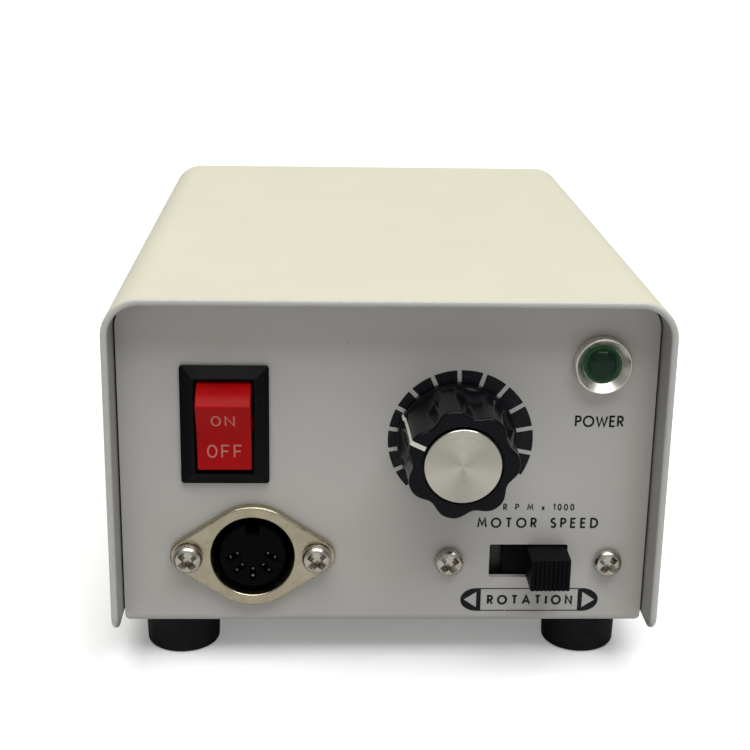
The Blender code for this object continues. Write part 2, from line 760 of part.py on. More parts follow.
def rear_cutters():
    """Cutters for the rear panel; its seat looks back, so x is counted the other way."""
    cutters = [
        round_hole(BUSH_NECK + SEAT, -BUSH_X, REAR_ROW_HEIGHT),
        round_hole(HOLDER_BARREL + SEAT, -FUSE_X, REAR_ROW_HEIGHT),
        round_hole(JACK_NECK + SEAT, -JACK_X, REAR_ROW_HEIGHT),
        through(rectangle(SLOT_LENGTH, SLOT_HEIGHT), -SELECTOR_X, SELECTOR_HEIGHT),
    ]
    for side in (-1, 1):
        slide_x = -SELECTOR_X + side * SLIDE_SCREW_X
        cutters.append(round_hole(SCREW_RADIUS + SEAT, slide_x, SELECTOR_HEIGHT, SMALL_ROUND))
    return cutters


def base_cutters():
    """Cutters for the base, on a seat that looks down, so y is counted the other way."""
    cutters = [lug_window(x, y) for x, y in lug_places()]
    for x in (-FOOT_X, FOOT_X):
        for y in (-FOOT_Y, FOOT_Y):
            cutters.append(round_hole(SCREW_RADIUS + SEAT, x, y, SMALL_ROUND))
    for y in strap_screw_rows():
        cutters.append(round_hole(SCREW_RADIUS + SEAT, TRAFO_X, -y, SMALL_ROUND))
    lug_zone = LUG_Y_INSET + SHEET / 2 + LUG_WINDOW + VENT_GAP
    for i in range(VENTS):
        x = BOARD_X + (i - (VENTS - 1) / 2) * VENT_PITCH
        slot = rounded_rectangle(VENT_WIDTH, BOARD_LENGTH - 2 * lug_zone, VENT_CORNER, SMALL_ROUND)
        cutters.append(through(slot, x, -BOARD_Y))
    return cutters


def add_chassis():
    """The folded chassis: front panel, base with side lips, and rear panel."""
    outline = folded_sheet(PANEL_Y, PANEL_TOP_Z + OVERRUN, BASE_Z, CHASSIS_BEND, SHEET)
    reach = PANEL_HALF + OVERRUN
    chassis = add_part("chassis", prism(outline, -reach, reach), seat("right", 0, 0, 0), "grey_paint")
    lip_top = FLOOR_Z + LIP_HEIGHT
    lip_length = 2 * (PANEL_Y - LIP_RELIEF)
    lip_height, lip_middle = lip_top - BASE_Z, (lip_top + BASE_Z) / 2
    lips = [
        block(lip_length, lip_height, side * reach, side * (PANEL_HALF - SHEET), y=lip_middle)
        for side in (-1, 1)
    ]
    join(chassis, "lips", lips, seat("right", 0, 0, 0))
    join(chassis, "lugs", [board_lug(x, y) for x, y in lug_places()], seat("front", 0, 0, 0))
    upper = arch(PANEL_HALF, (BASE_Z + TOP_Z) / 2, PANEL_TOP_Z, COVER_BEND - SHEET - SEAT)
    lower = arch(PANEL_HALF, (BASE_Z + TOP_Z) / 2, BASE_Z, CHASSIS_BEND)
    trim = prism(upper[:-1] + lower[::-1][:-1], -CASE_DEPTH, CASE_DEPTH)
    combine(chassis, "trim", [trim], seat("front", 0, 0, 0), "INTERSECT")
    cut(chassis, "front_holes", front_cutters(), on_front(0, 0))
    cut(chassis, "rear_holes", rear_cutters(), on_rear(0, 0))
    cut(chassis, "base_holes", base_cutters(), seat("down", 0, 0, BASE_Z))
    for label, place in cover_screw_places().items():
        deep = shifted(place, z=-PANEL_BACK)
        cut(chassis, f"hole_{label}", [round_hole(SCREW_RADIUS + SEAT, count=SMALL_ROUND)], deep)


def add_cover_screws():
    """Two screws through each side of the cover into the chassis lips."""
    for label, place in cover_screw_places().items():
        add_screw(f"cover_screw_{label}", place, LARGE_HEAD_RADIUS, LARGE_HEAD_HEIGHT)


def add_foot(label, x, y):
    """A rubber foot with a well for its screw, and the screw."""
    place = seat("down", x, y, FOOT_HEIGHT)
    shank = SCREW_RADIUS + SEAT
    profile = [
        (shank, 0),
        (FOOT_RADIUS, 0),
        (FOOT_RADIUS - FOOT_TAPER, FOOT_HEIGHT - FOOT_EDGE),
        (FOOT_RADIUS - FOOT_TAPER - FOOT_EDGE * EASE_SHARE, FOOT_HEIGHT - FOOT_EDGE * EASE_SHARE),
        (FOOT_RADIUS - FOOT_TAPER - FOOT_EDGE, FOOT_HEIGHT),
        (FOOT_WELL_RADIUS, FOOT_HEIGHT),
        (FOOT_WELL_RADIUS, FOOT_HEIGHT - FOOT_WELL_DEPTH),
        (shank, FOOT_HEIGHT - FOOT_WELL_DEPTH),
    ]
    add_part(f"foot_{label}", turned(profile, closed=True), place, "rubber")
    screw_place = shifted(place, z=FOOT_HEIGHT - FOOT_WELL_DEPTH)
    add_screw(f"foot_screw_{label}", screw_place, LARGE_HEAD_RADIUS, LARGE_HEAD_HEIGHT)


def add_feet():
    """Four feet under the base's corners."""
    for end, y in (("front", -FOOT_Y), ("rear", FOOT_Y)):
        for side, x in (("left", -FOOT_X), ("right", FOOT_X)):
            add_foot(f"{end}_{side}", x, y)


def rocker_outline():
    """The rocker's side outline about its pivot: a shallow valley between two round ends."""
    slope = math.tan(ROCKER_SLOPE)
    edge = -ROCKER_RISE * slope
    edge += math.sqrt((ROCKER_RISE * slope) ** 2 - (1 + slope**2) * (ROCKER_RISE**2 - ROCKER_RADIUS**2))
    edge /= 1 + slope**2
    face = []
    for i in range(ROCKER_FACE_STEPS + 1):
        x = edge * (2 * i / ROCKER_FACE_STEPS - 1)
        rise = math.hypot(x, ROCKER_VALLEY) - ROCKER_VALLEY
        face.append((x, ROCKER_RISE + slope * rise))
    corner = math.atan2(face[-1][1], face[-1][0])
    heel = -math.asin(ROCKER_DEPTH / ROCKER_RADIUS)
    right = arc((0, 0), ROCKER_RADIUS, corner, heel, ROCKER_END_STEPS)
    left = [(-x, y) for x, y in right[::-1]]
    return face[1:-1] + right + left


def add_power_switch():
    """The rocker switch: bezel with its housing, rocker on two trunnions, two blade terminals."""
    place = on_front(SWITCH_X, SWITCH_HEIGHT)
    width, length = BEZEL_WIDTH - 2 * SWITCH_FLANGE, BEZEL_LENGTH - 2 * SWITCH_FLANGE
    well_width, well_length = ROCKER_WIDTH + 2 * RUN, 2 * (ROCKER_RADIUS + RUN)
    rim = WELL_EASE
    corner, sharp = BEZEL_CORNER, BEZEL_CORNER / 2
    crest_width, crest_length = BEZEL_WIDTH - 2 * BEZEL_SLOPE, BEZEL_LENGTH - 2 * BEZEL_SLOPE
    sections = [
        lift(rounded_rectangle(width, length, sharp), -SWITCH_BODY_DEPTH),
        lift(rounded_rectangle(width, length, sharp), SEAT),
        lift(rounded_rectangle(BEZEL_WIDTH, BEZEL_LENGTH, corner), SEAT),
        lift(rounded_rectangle(BEZEL_WIDTH, BEZEL_LENGTH, corner), SEAT + BEZEL_LIP),
        lift(rounded_rectangle(crest_width, crest_length, sharp), BEZEL_RISE),
        lift(rounded_rectangle(well_width + rim, well_length + rim, sharp), BEZEL_RISE),
        lift(rounded_rectangle(well_width, well_length, sharp), BEZEL_RISE - rim),
        lift(rounded_rectangle(well_width, well_length, sharp), -ROCKER_WELL_DEPTH),
    ]
    housing = add_part("switch_housing", skin(sections), place, "black_plastic")
    pivot = shifted(place, z=-ROCKER_PIVOT_DEPTH)
    reach = ROCKER_WIDTH / 2 + TRUNNION_REACH
    bearing = cylinder(TRUNNION_RADIUS + RUN, -reach - RUN, reach + RUN, SMALL_ROUND)
    cut(housing, "bearings", [rolled(bearing, math.pi / 2, "Y")], pivot)
    slots = [
        block(
            BLADE_WIDTH + 2 * SEAT,
            BLADE_THICKNESS + 2 * SEAT,
            -SWITCH_BODY_DEPTH - OVERRUN,
            -SWITCH_BODY_DEPTH + BLADE_ROOT,
            y=side * BLADE_PITCH / 2,
        )
        for side in (-1, 1)
    ]
    cut(housing, "slots", slots, place)
    for label, side in (("lower", -1), ("upper", 1)):
        blade = block(
            BLADE_WIDTH,
            BLADE_THICKNESS,
            -SWITCH_BODY_DEPTH - BLADE_REACH,
            -SWITCH_BODY_DEPTH + BLADE_ROOT - SEAT,
            y=side * BLADE_PITCH / 2,
        )
        add_part(f"switch_terminal_{label}", blade, place, "brass")
    tilted = pivot @ Matrix.Rotation(ROCKER_THROW, 4, "X")
    lying = rolled(prism(rocker_outline(), -ROCKER_WIDTH / 2, ROCKER_WIDTH / 2), math.pi / 2, "X")
    rocker = add_part("power_rocker", rolled(lying, math.pi / 2), tilted, "red_plastic")
    ease_edges(rocker, ROCKER_EDGE)
    pins = rolled(cylinder(TRUNNION_RADIUS, -reach, reach, SMALL_ROUND), math.pi / 2, "Y")
    join(rocker, "trunnions", [pins], tilted)


def flange_outline(inset=0.0):
    """The tight outline round a middle circle and two end circles, read by the angle it faces."""
    points = []
    for i in range(FLANGE_COUNT):
        angle = math.tau * (i + 0.5) / FLANGE_COUNT
        side = 1 if math.cos(angle) > 0 else -1
        ending = FLANGE_SCREW_X * abs(math.cos(angle)) + FLANGE_END_RADIUS > FLANGE_RADIUS
        centre = side * FLANGE_SCREW_X if ending else 0.0
        radius = (FLANGE_END_RADIUS if ending else FLANGE_RADIUS) - inset
        x, y = polar(radius, angle)
        points.append((centre + x, y))
    return points


def contact_place(place, index):
    """The middle of one contact slot, turned to its own slant."""
    x, y = polar(CONTACT_CIRCLE, CONTACT_ANGLES[index])
    return shifted(place, x, y) @ Matrix.Rotation(CONTACT_TURNS[index], 4, "Z")


def add_socket():
    """The handpiece socket: oval flange with its shell, keyed insert, five contacts, two screws."""
    place = on_front(SOCKET_X, SOCKET_HEIGHT)
    face = SEAT + FLANGE_THICKNESS
    half_step = math.pi / FLANGE_COUNT

    def ring(radius, height):
        return lift(circle(radius, FLANGE_COUNT, half_step), height)

    sections = [
        lift(flange_outline(), SEAT),
        lift(flange_outline(), face - FLANGE_EDGE),
        lift(flange_outline(FLANGE_EDGE * EASE_SHARE), face - FLANGE_EDGE * EASE_SHARE),
        lift(flange_outline(FLANGE_EDGE), face),
        ring(SOCKET_BORE + SOCKET_LIP, face),
        ring(SOCKET_BORE, face - SOCKET_LIP),
        ring(SOCKET_BORE, -SOCKET_SHELL_DEPTH),
        ring(SOCKET_SHELL, -SOCKET_SHELL_DEPTH),
        ring(SOCKET_SHELL, SEAT),
    ]
    flange = add_part("socket_flange", skin(sections, closed=True), place, "zinc")
    holes = [
        moved(cylinder(SCREW_RADIUS + SEAT, -OVERRUN, face + OVERRUN, SMALL_ROUND), side * FLANGE_SCREW_X)
        for side in (-1, 1)
    ]
    cut(flange, "screw_holes", holes, place)
    front, back = face - INSERT_DROP, -SOCKET_SHELL_DEPTH
    base = SOCKET_BORE - SEAT
    profile = [
        (base, back),
        (base, back + INSERT_FLANGE_DEPTH),
        (INSERT_RADIUS, back + INSERT_FLANGE_DEPTH),
        (INSERT_RADIUS, front - SOCKET_LIP),
        (INSERT_RADIUS - SOCKET_LIP, front),
    ]
    insert = add_part("socket_insert", turned(profile), place, "black_plastic")
    key = block(KEY_WIDTH, 2 * KEY_DEPTH, back + INSERT_FLANGE_DEPTH, face + OVERRUN, y=INSERT_RADIUS)
    cut(insert, "key", [key], place)
    for index in range(len(CONTACT_ANGLES)):
        middle = contact_place(place, index)
        slot_length, slot_width = CONTACT_LENGTH + 2 * SEAT, CONTACT_THICKNESS + 2 * SEAT
        slot = block(slot_length, slot_width, back - OVERRUN, face + OVERRUN)
        cut(insert, f"slot_{index + 1}", [slot], middle)
        strip = block(CONTACT_LENGTH, CONTACT_THICKNESS, back - CONTACT_TAIL, front - CONTACT_DROP)
        add_part(f"socket_contact_{index + 1}", strip, middle, "brass")
    for label, side in (("left", -1), ("right", 1)):
        on_flange = shifted(place, side * FLANGE_SCREW_X, z=face)
        add_screw(f"socket_screw_{label}", on_flange, LARGE_HEAD_RADIUS, LARGE_HEAD_HEIGHT)


def fluted_ring(radius, depth, height):
    """A ring of the knob whose flutes are as deep as stated, with a lobe under the pointer."""
    points = []
    for i in range(KNOB_COUNT):
        angle = KNOB_POINTER_ANGLE + math.tau * i / KNOB_COUNT
        wave = (1 - math.cos(KNOB_FLUTES * (angle - KNOB_POINTER_ANGLE))) / 2
        x, y = polar(radius - depth * wave**FLUTE_WIDTH_POWER, angle)
        points.append((x, y, height))
    return points


def knob_sections():
    """The knob from the end of its shaft bore, round its skirt and flutes, to its cap pocket."""
    face = KNOB_HEIGHT - CAP_PROUD
    pocket = KNOB_HEIGHT - CAP_THICKNESS - SEAT
    roof = KNOB_LIFT + KNOB_RECESS_DEPTH
    bore = SHAFT_RADIUS + SEAT
    skirt = KNOB_LIFT + KNOB_SKIRT
    sections = [
        fluted_ring(bore, 0, bore_end()),
        fluted_ring(bore, 0, roof),
        fluted_ring(KNOB_RADIUS - KNOB_WALL, 0, roof),
        fluted_ring(KNOB_RADIUS - KNOB_WALL, 0, KNOB_LIFT),
        fluted_ring(KNOB_RADIUS, 0, KNOB_LIFT),
    ]
    for share in FLUTE_RISE_SHARES:
        height = skirt + (face - KNOB_FACE_EDGE - skirt) * share
        radius = KNOB_RADIUS + (KNOB_FACE_RADIUS - KNOB_RADIUS) * share
        sections.append(fluted_ring(radius, KNOB_FLUTE_DEPTH * math.sqrt(share), height))
    sections += [
        fluted_ring(KNOB_FACE_RADIUS - KNOB_FACE_EDGE, KNOB_FLUTE_DEPTH, face),
        fluted_ring(CAP_RADIUS + SEAT, 0, face),
        fluted_ring(CAP_RADIUS + SEAT, 0, pocket),
    ]
    return sections


def bore_end():
    """Height of the blind end of the knob's bore, a wall behind the cap's pocket."""
    return KNOB_HEIGHT - CAP_THICKNESS - SEAT - KNOB_BORE_WALL


def add_speed_knob():
    """The fluted knob with its aluminium cap and set screw, and the potentiometer it turns."""
    place = on_front(KNOB_X, KNOB_AXIS_HEIGHT)
    knob = add_part("speed_knob", skin(knob_sections()), place, "black_gloss")
    away = KNOB_POINTER_ANGLE + math.pi
    aside = shifted(place, z=SET_SCREW_HEIGHT) @ Matrix.Rotation(away, 4, "Z")
    radial = aside @ Matrix.Rotation(math.pi / 2, 4, "Y")
    bore = cylinder(SET_SCREW_RADIUS + SEAT, SHAFT_FLAT, 2 * KNOB_RADIUS, SMALL_ROUND)
    cut(knob, "screw_bore", [bore], radial)
    start = SHAFT_FLAT + SEAT
    grub = cylinder(SET_SCREW_RADIUS, start, start + SET_SCREW_LENGTH, SMALL_ROUND)
    add_part("knob_set_screw", grub, radial, "steel")
    cap = [
        (CAP_RADIUS, KNOB_HEIGHT - CAP_THICKNESS),
        (CAP_RADIUS, KNOB_HEIGHT - CAP_EDGE),
        (CAP_RADIUS - CAP_EDGE, KNOB_HEIGHT),
    ]
    add_part("knob_cap", turned(cap), place, "aluminium")
    add_potentiometer(place, away)


def shaft_ring(turn, flat, height):
    """A ring of the shaft, cut straight on the side that the set screw presses."""
    cosine, sine = math.cos(turn), math.sin(turn)
    points = []
    for x, y in matching_circle(SHAFT_RADIUS):
        along = min(x, flat)
        points.append((along * cosine - y * sine, along * sine + y * cosine, height))
    return points


def add_potentiometer(place, flat_turn):
    """Shaft, housing with a threaded neck and three tags at its left, and nut."""
    tip = bore_end() - SEAT
    sections = [
        shaft_ring(flat_turn, SHAFT_RADIUS, -SHAFT_HEEL),
        shaft_ring(flat_turn, SHAFT_RADIUS, SHAFT_FLAT_START),
        shaft_ring(flat_turn, SHAFT_FLAT, SHAFT_FLAT_START + SHAFT_STEP),
        shaft_ring(flat_turn, SHAFT_FLAT, tip),
    ]
    add_part("pot_shaft", skin(sections), place, "steel")
    back = -PANEL_BACK - POT_DEPTH
    bore = SHAFT_RADIUS + RUN
    profile = [
        (POT_RADIUS - POT_EDGE, back),
        (POT_RADIUS, back + POT_EDGE),
        (POT_RADIUS, -PANEL_BACK),
        (NECK_RADIUS, -PANEL_BACK),
        (NECK_RADIUS, NECK_REACH),
        (bore, NECK_REACH),
        (bore, -SHAFT_HEEL - RUN),
    ]
    housing = add_part("pot_housing", turned(profile), place, "steel")
    middle = -PANEL_BACK - POT_DEPTH / 2
    low, high = middle - TAG_THICKNESS / 2, middle + TAG_THICKNESS / 2
    tip = -POT_RADIUS - TAG_REACH
    tags = []
    for side in (-1, 0, 1):
        root = LAP - math.sqrt(POT_RADIUS**2 - (abs(side) * TAG_PITCH + TAG_WIDTH / 2) ** 2)
        tags.append(block(root - tip, TAG_WIDTH, low, high, (root + tip) / 2, side * TAG_PITCH))
    join(housing, "tags", tags, place)
    add_nut("pot_nut", place, POT_NUT_FLATS, POT_NUT_THICKNESS, NECK_RADIUS, "nickel", facing_out=True)


def add_pilot_lamp():
    """The dished chrome bezel with its barrel, the green lens and the nut."""
    place = on_front(LAMP_X, LAMP_HEIGHT)
    bore = LENS_RADIUS + SEAT
    profile = [
        (LAMP_RIM, SEAT),
        (LAMP_RIM, LAMP_RISE - LAMP_EDGE),
        (LAMP_RIM - LAMP_EDGE * EASE_SHARE, LAMP_RISE - LAMP_EDGE * EASE_SHARE),
        (LAMP_RIM - LAMP_EDGE, LAMP_RISE),
        (LAMP_DISH_RADIUS, LAMP_DISH_FLOOR),
        (bore, LAMP_DISH_FLOOR),
        (bore, -LAMP_BARREL_DEPTH),
        (LAMP_BARREL, -LAMP_BARREL_DEPTH),
        (LAMP_BARREL, SEAT),
    ]
    add_part("lamp_bezel", turned(profile, closed=True), place, "chrome")
    tip = LAMP_RISE - LENS_DROP
    dome = arc((0, tip - LENS_RADIUS), LENS_RADIUS, 0, LENS_DOME_SHARE * math.pi / 2, BEND_STEPS)
    add_part("lamp_lens", turned([(LENS_RADIUS, -LENS_DEPTH)] + dome, CORNER_COUNT), place, "green_lens")
    add_nut("lamp_nut", place, LAMP_NUT_FLATS, LAMP_NUT_THICKNESS, LAMP_BARREL, "nickel")


def lever_outline():
    """The lever seen from above, with ribs along its front."""
    half, step = LEVER_WIDTH / 2, LEVER_WIDTH / LEVER_RIBS
    root = -PANEL_BACK - LAP
    points = [(-half, root), (half, root)]
    for i in range(LEVER_RIBS):
        right = half - i * step
        points.append((right, LEVER_REACH - LEVER_RIB_DEPTH))
        points.append((right - step / 2, LEVER_REACH))
    points.append((-half, LEVER_REACH - LEVER_RIB_DEPTH))
    return points


def add_slide_switch(name, place):
    """A slide switch behind a panel: eared frame, ribbed slider at the right end, two screws."""
    run_length = RUNNER_LENGTH + SLIDE_TRAVEL + 2 * RUN
    run_height = RUNNER_HEIGHT + 2 * RUN
    outer_length, outer_height = run_length + 2 * FRAME_WALL, run_height + 2 * FRAME_WALL + 2 * EAR_MARGIN
    ear_back = -PANEL_BACK - EAR_THICKNESS
    floor = -PANEL_BACK - RUNNER_THICKNESS - RUN
    body = rounded_rectangle(outer_length, outer_height, FRAME_CORNER)
    ear_length = 2 * (SLIDE_SCREW_X + EAR_REACH)
    ears = rounded_rectangle(ear_length, outer_height + 2 * EAR_MARGIN, EAR_CORNER)
    run = rounded_rectangle(run_length, run_height, RUN_CORNER)
    sections = [
        lift(body, -PANEL_BACK - FRAME_DEPTH),
        lift(body, ear_back),
        lift(ears, ear_back),
        lift(ears, -PANEL_BACK),
        lift(run, -PANEL_BACK),
        lift(run, floor),
    ]
    frame = add_part(f"{name}_frame", skin(sections), place, "steel")
    holes = [round_hole(SCREW_RADIUS + SEAT, side * SLIDE_SCREW_X, 0, SMALL_ROUND) for side in (-1, 1)]
    cut(frame, "screw_holes", [moved(hole, z=-PANEL_BACK) for hole in holes], place)
    at_rest = shifted(place, SLIDE_TRAVEL / 2)
    lever = rolled(prism(lever_outline(), -LEVER_HEIGHT / 2, LEVER_HEIGHT / 2), math.pi / 2, "X")
    slider = add_part(f"{name}_slider", lever, at_rest, "black_plastic")
    runner = block(RUNNER_LENGTH, RUNNER_HEIGHT, -PANEL_BACK - RUNNER_THICKNESS, -PANEL_BACK)
    join(slider, "runner", [runner], at_rest)
    for label, side in (("left", -1), ("right", 1)):
        screw_place = shifted(place, side * SLIDE_SCREW_X)
        add_screw(f"{name}_screw_{label}", screw_place, SMALL_HEAD_RADIUS, SMALL_HEAD_HEIGHT)


def add_cord_bush():
    """The snap-in bush that the mains cord passes through."""
    profile = [
        (BUSH_BORE, BUSH_REACH - BUSH_MOUTH),
        (BUSH_BORE + BUSH_MOUTH, BUSH_REACH),
        (BUSH_SNOUT, BUSH_REACH),
        (BUSH_NECK, SEAT + BUSH_FLANGE_THICKNESS),
        (BUSH_FLANGE - BUSH_MOUTH, SEAT + BUSH_FLANGE_THICKNESS),
        (BUSH_FLANGE, SEAT + BUSH_FLANGE_THICKNESS - BUSH_MOUTH),
        (BUSH_FLANGE, SEAT),
        (BUSH_NECK, SEAT),
        (BUSH_NECK, -PANEL_BACK),
        (BUSH_BARB, -PANEL_BACK),
        (BUSH_SNOUT, -BUSH_TAIL),
        (BUSH_BORE, -BUSH_TAIL),
    ]
    add_part("cord_bush", turned(profile, closed=True), on_rear(BUSH_X, REAR_ROW_HEIGHT), "black_plastic")


def grip_ring(depth, radius, height):
    """A ring of the fuse cap with finger flutes."""
    points = []
    for i in range(GRIP_COUNT):
        angle = math.tau * i / GRIP_COUNT
        wave = (1 - math.cos(GRIP_FLUTES * angle)) / 2
        x, y = polar(radius - depth * wave, angle)
        points.append((x, y, height))
    return points


def add_fuse_holder():
    """The fuse holder with its nut, the glass fuse, and the cap that turns and draws out with it."""
    place = on_rear(FUSE_X, REAR_ROW_HEIGHT)
    flange_face = SEAT + HOLDER_FLANGE_THICKNESS
    profile = [
        (HOLDER_TAG_RADIUS, HOLDER_BACK - HOLDER_TAG_REACH),
        (HOLDER_TAG_RADIUS, HOLDER_BACK),
        (HOLDER_BARREL, HOLDER_BACK),
        (HOLDER_BARREL, SEAT),
        (HOLDER_FLANGE, SEAT),
        (HOLDER_FLANGE, flange_face - HOLDER_EDGE),
        (HOLDER_FLANGE - HOLDER_EDGE, flange_face),
        (HOLDER_BORE, flange_face),
        (HOLDER_BORE, FUSE_IN - SEAT),
    ]
    add_part("fuse_holder", turned(profile), place, "black_plastic")
    add_nut("fuse_nut", place, HOLDER_NUT_FLATS, HOLDER_NUT_THICKNESS, HOLDER_BARREL, "black_plastic")
    cup = FUSE_RADIUS + SEAT
    sections = [
        grip_ring(0, cup, FUSE_OUT + SEAT),
        grip_ring(0, cup, SPIGOT_END),
        grip_ring(0, SPIGOT_RADIUS, SPIGOT_END),
        grip_ring(0, SPIGOT_RADIUS, GRIP_BACK),
        grip_ring(0, GRIP_RADIUS, GRIP_BACK),
        grip_ring(GRIP_FLUTE_DEPTH, GRIP_RADIUS, GRIP_BACK + HOLDER_EDGE),
        grip_ring(GRIP_FLUTE_DEPTH, GRIP_RADIUS, GRIP_REACH - HOLDER_EDGE),
        grip_ring(GRIP_FLUTE_DEPTH, GRIP_RADIUS - HOLDER_EDGE, GRIP_REACH),
    ]
    cap = add_part("fuse_cap", skin(sections), place, "black_plastic")
    slot_floor = GRIP_REACH - CAP_SLOT_DEPTH
    slot = block(2 * GRIP_RADIUS + OVERRUN, CAP_SLOT_WIDTH, slot_floor, GRIP_REACH + OVERRUN)
    cut(cap, "slot", [slot], place)
    fuse = [
        (FUSE_RADIUS, FUSE_IN),
        (FUSE_RADIUS, FUSE_IN + FUSE_FERRULE),
        (FUSE_GLASS, FUSE_IN + FUSE_FERRULE),
        (FUSE_GLASS, FUSE_OUT - FUSE_FERRULE),
        (FUSE_RADIUS, FUSE_OUT - FUSE_FERRULE),
        (FUSE_RADIUS, FUSE_OUT),
    ]
    add_part("glass_fuse", turned(fuse, CORNER_COUNT), place, "glass")


def add_pedal_jack():
    """The jack for the speed pedal's plug, and its nut outside the panel."""
    place = on_rear(JACK_X, REAR_ROW_HEIGHT)
    back = -PANEL_BACK - JACK_BODY_DEPTH
    body = rounded_rectangle(JACK_BODY_WIDTH, JACK_BODY_HEIGHT, JACK_CORNER)
    sections = [
        lift(body, back),
        lift(body, -PANEL_BACK),
        lift(matching_circle(JACK_NECK), -PANEL_BACK),
        lift(matching_circle(JACK_NECK), JACK_REACH - JACK_EDGE),
        lift(matching_circle(JACK_NECK - JACK_EDGE), JACK_REACH),
        lift(matching_circle(JACK_BORE), JACK_REACH),
        lift(matching_circle(JACK_BORE), back + JACK_FLOOR),
    ]
    add_part("pedal_jack", skin(sections), place, "black_plastic")
    flats, thickness = JACK_NUT_FLATS, JACK_NUT_THICKNESS
    add_nut("pedal_jack_nut", place, flats, thickness, JACK_NECK, "nickel", facing_out=True)


def strap_screw_rows():
    """The two lines across which the transformer's screws stand."""
    reach = STRAP_WALL + STRAP_THICKNESS + STRAP_FOOT - STRAP_HOLE_INSET
    return (TRAFO_Y - reach, TRAFO_Y + reach)


def strap_outline():
    """The strap seen from the side: over the core, with a foot at each end."""
    wall = STRAP_WALL
    outer = wall + STRAP_THICKNESS
    foot = outer + STRAP_FOOT
    top = CORE_HEIGHT + 2 * SEAT
    low = SEAT
    half = [
        (wall, low),
        (foot, low),
        (foot, low + STRAP_THICKNESS),
        (outer, low + STRAP_THICKNESS),
        (outer, top + STRAP_THICKNESS),
    ]
    right = [(wall, top)] + half
    return right + [(-x, z) for x, z in right[::-1]]


def add_transformer():
    """The mains transformer: windowed core, coil on its middle limb, strap and two screws."""
    side_seat = seat("right", TRAFO_X, TRAFO_Y, FLOOR_Z)
    middle = SEAT + CORE_HEIGHT / 2
    core = moved(prism(rectangle(CORE_LENGTH, CORE_HEIGHT), -CORE_STACK / 2, CORE_STACK / 2), y=middle)
    core_part = add_part("transformer_core", core, side_seat, "steel")
    window_height = CORE_HEIGHT - 2 * CORE_YOKE
    window_width = (CORE_LENGTH - CORE_LIMB - 2 * CORE_SIDE) / 2
    window_y = (CORE_LIMB + window_width) / 2
    windows = [
        block(window_width, window_height, -CORE_STACK, CORE_STACK, side * window_y, middle)
        for side in (-1, 1)
    ]
    cut(core_part, "windows", windows, side_seat)
    low = SEAT + CORE_YOKE + SEAT
    high = low + window_height - 2 * SEAT
    wide_x, wide_y = CORE_STACK + 2 * COIL_SPREAD, CORE_LIMB + 2 * (window_width - SEAT)
    bore = rounded_rectangle(CORE_STACK + 2 * SEAT, CORE_LIMB + 2 * SEAT, SEAT)
    flange = rounded_rectangle(wide_x, wide_y, COIL_CORNER)
    wound = rounded_rectangle(wide_x - 2 * COIL_INSET, wide_y - 2 * COIL_INSET, COIL_CORNER)
    sections = [
        lift(bore, low),
        lift(flange, low),
        lift(flange, low + COIL_FLANGE),
        lift(wound, low + COIL_FLANGE),
        lift(wound, high - COIL_FLANGE),
        lift(flange, high - COIL_FLANGE),
        lift(flange, high),
        lift(bore, high),
    ]
    floor_seat = seat("up", TRAFO_X, TRAFO_Y, FLOOR_Z)
    add_part("transformer_coil", skin(sections, closed=True), floor_seat, "coil_tape")
    strap = prism(strap_outline(), -STRAP_WIDTH / 2, STRAP_WIDTH / 2)
    strap_part = add_part("transformer_strap", strap, side_seat, "zinc")
    for label, row in zip(("front", "rear"), strap_screw_rows()):
        foot = seat("up", TRAFO_X, row, FLOOR_Z + SEAT + STRAP_THICKNESS)
        cut(strap_part, f"hole_{label}", [round_hole(SCREW_RADIUS + SEAT, count=SMALL_ROUND)], foot)
        add_screw(f"transformer_screw_{label}", foot, LARGE_HEAD_RADIUS, LARGE_HEAD_HEIGHT)


def add_board():
    """The circuit board on its lugs."""
    outline = rounded_rectangle(BOARD_WIDTH, BOARD_LENGTH, BOARD_CORNER)
    place = seat("up", BOARD_X, BOARD_Y, BOARD_Z)
    board = add_part("circuit_board", prism(outline, 0, BOARD_THICKNESS), place, "board_green")
    slots = []
    for x, y in lug_places():
        slot = block(TONGUE_WIDTH + 2 * SEAT, SHEET + 2 * SEAT, -OVERRUN, BOARD_THICKNESS + OVERRUN)
        slots.append(moved(slot, x - BOARD_X, y - BOARD_Y))
    cut(board, "lug_slots", slots, place)


def add_capacitor():
    """The filter capacitor, a sleeved can with a groove near its foot."""
    radius, height = CAPACITOR_RADIUS, CAPACITOR_HEIGHT
    low, groove = SEAT, SEAT + CAPACITOR_GROOVE_HEIGHT
    profile = [
        (radius - CAPACITOR_EDGE, low),
        (radius, low + CAPACITOR_EDGE),
        (radius, groove - CAPACITOR_EDGE),
        (radius - CAPACITOR_GROOVE, groove),
        (radius, groove + CAPACITOR_EDGE),
        (radius, low + height - CAPACITOR_EDGE),
        (radius - CAPACITOR_EDGE, low + height),
    ]
    place = seat("up", CAPACITOR_X, CAPACITOR_Y, BOARD_TOP_Z)
    add_part("filter_capacitor", turned(profile, CORNER_COUNT), place, "blue_sleeve")


def sink_outline():
    """The heat sink seen from above: a flat back with fins behind it."""
    half, tip = SINK_WIDTH / 2, SINK_BACK + SINK_FIN_REACH
    pitch = (SINK_WIDTH - SINK_FIN_THICKNESS) / (SINK_FINS - 1)
    points = []
    for i in range(SINK_FINS):
        right = half - i * pitch
        left = right - SINK_FIN_THICKNESS
        points += [(right, SINK_BACK), (right, tip), (left, tip), (left, SINK_BACK)]
    return [(-half, 0), (half, 0)] + points[1:-1]


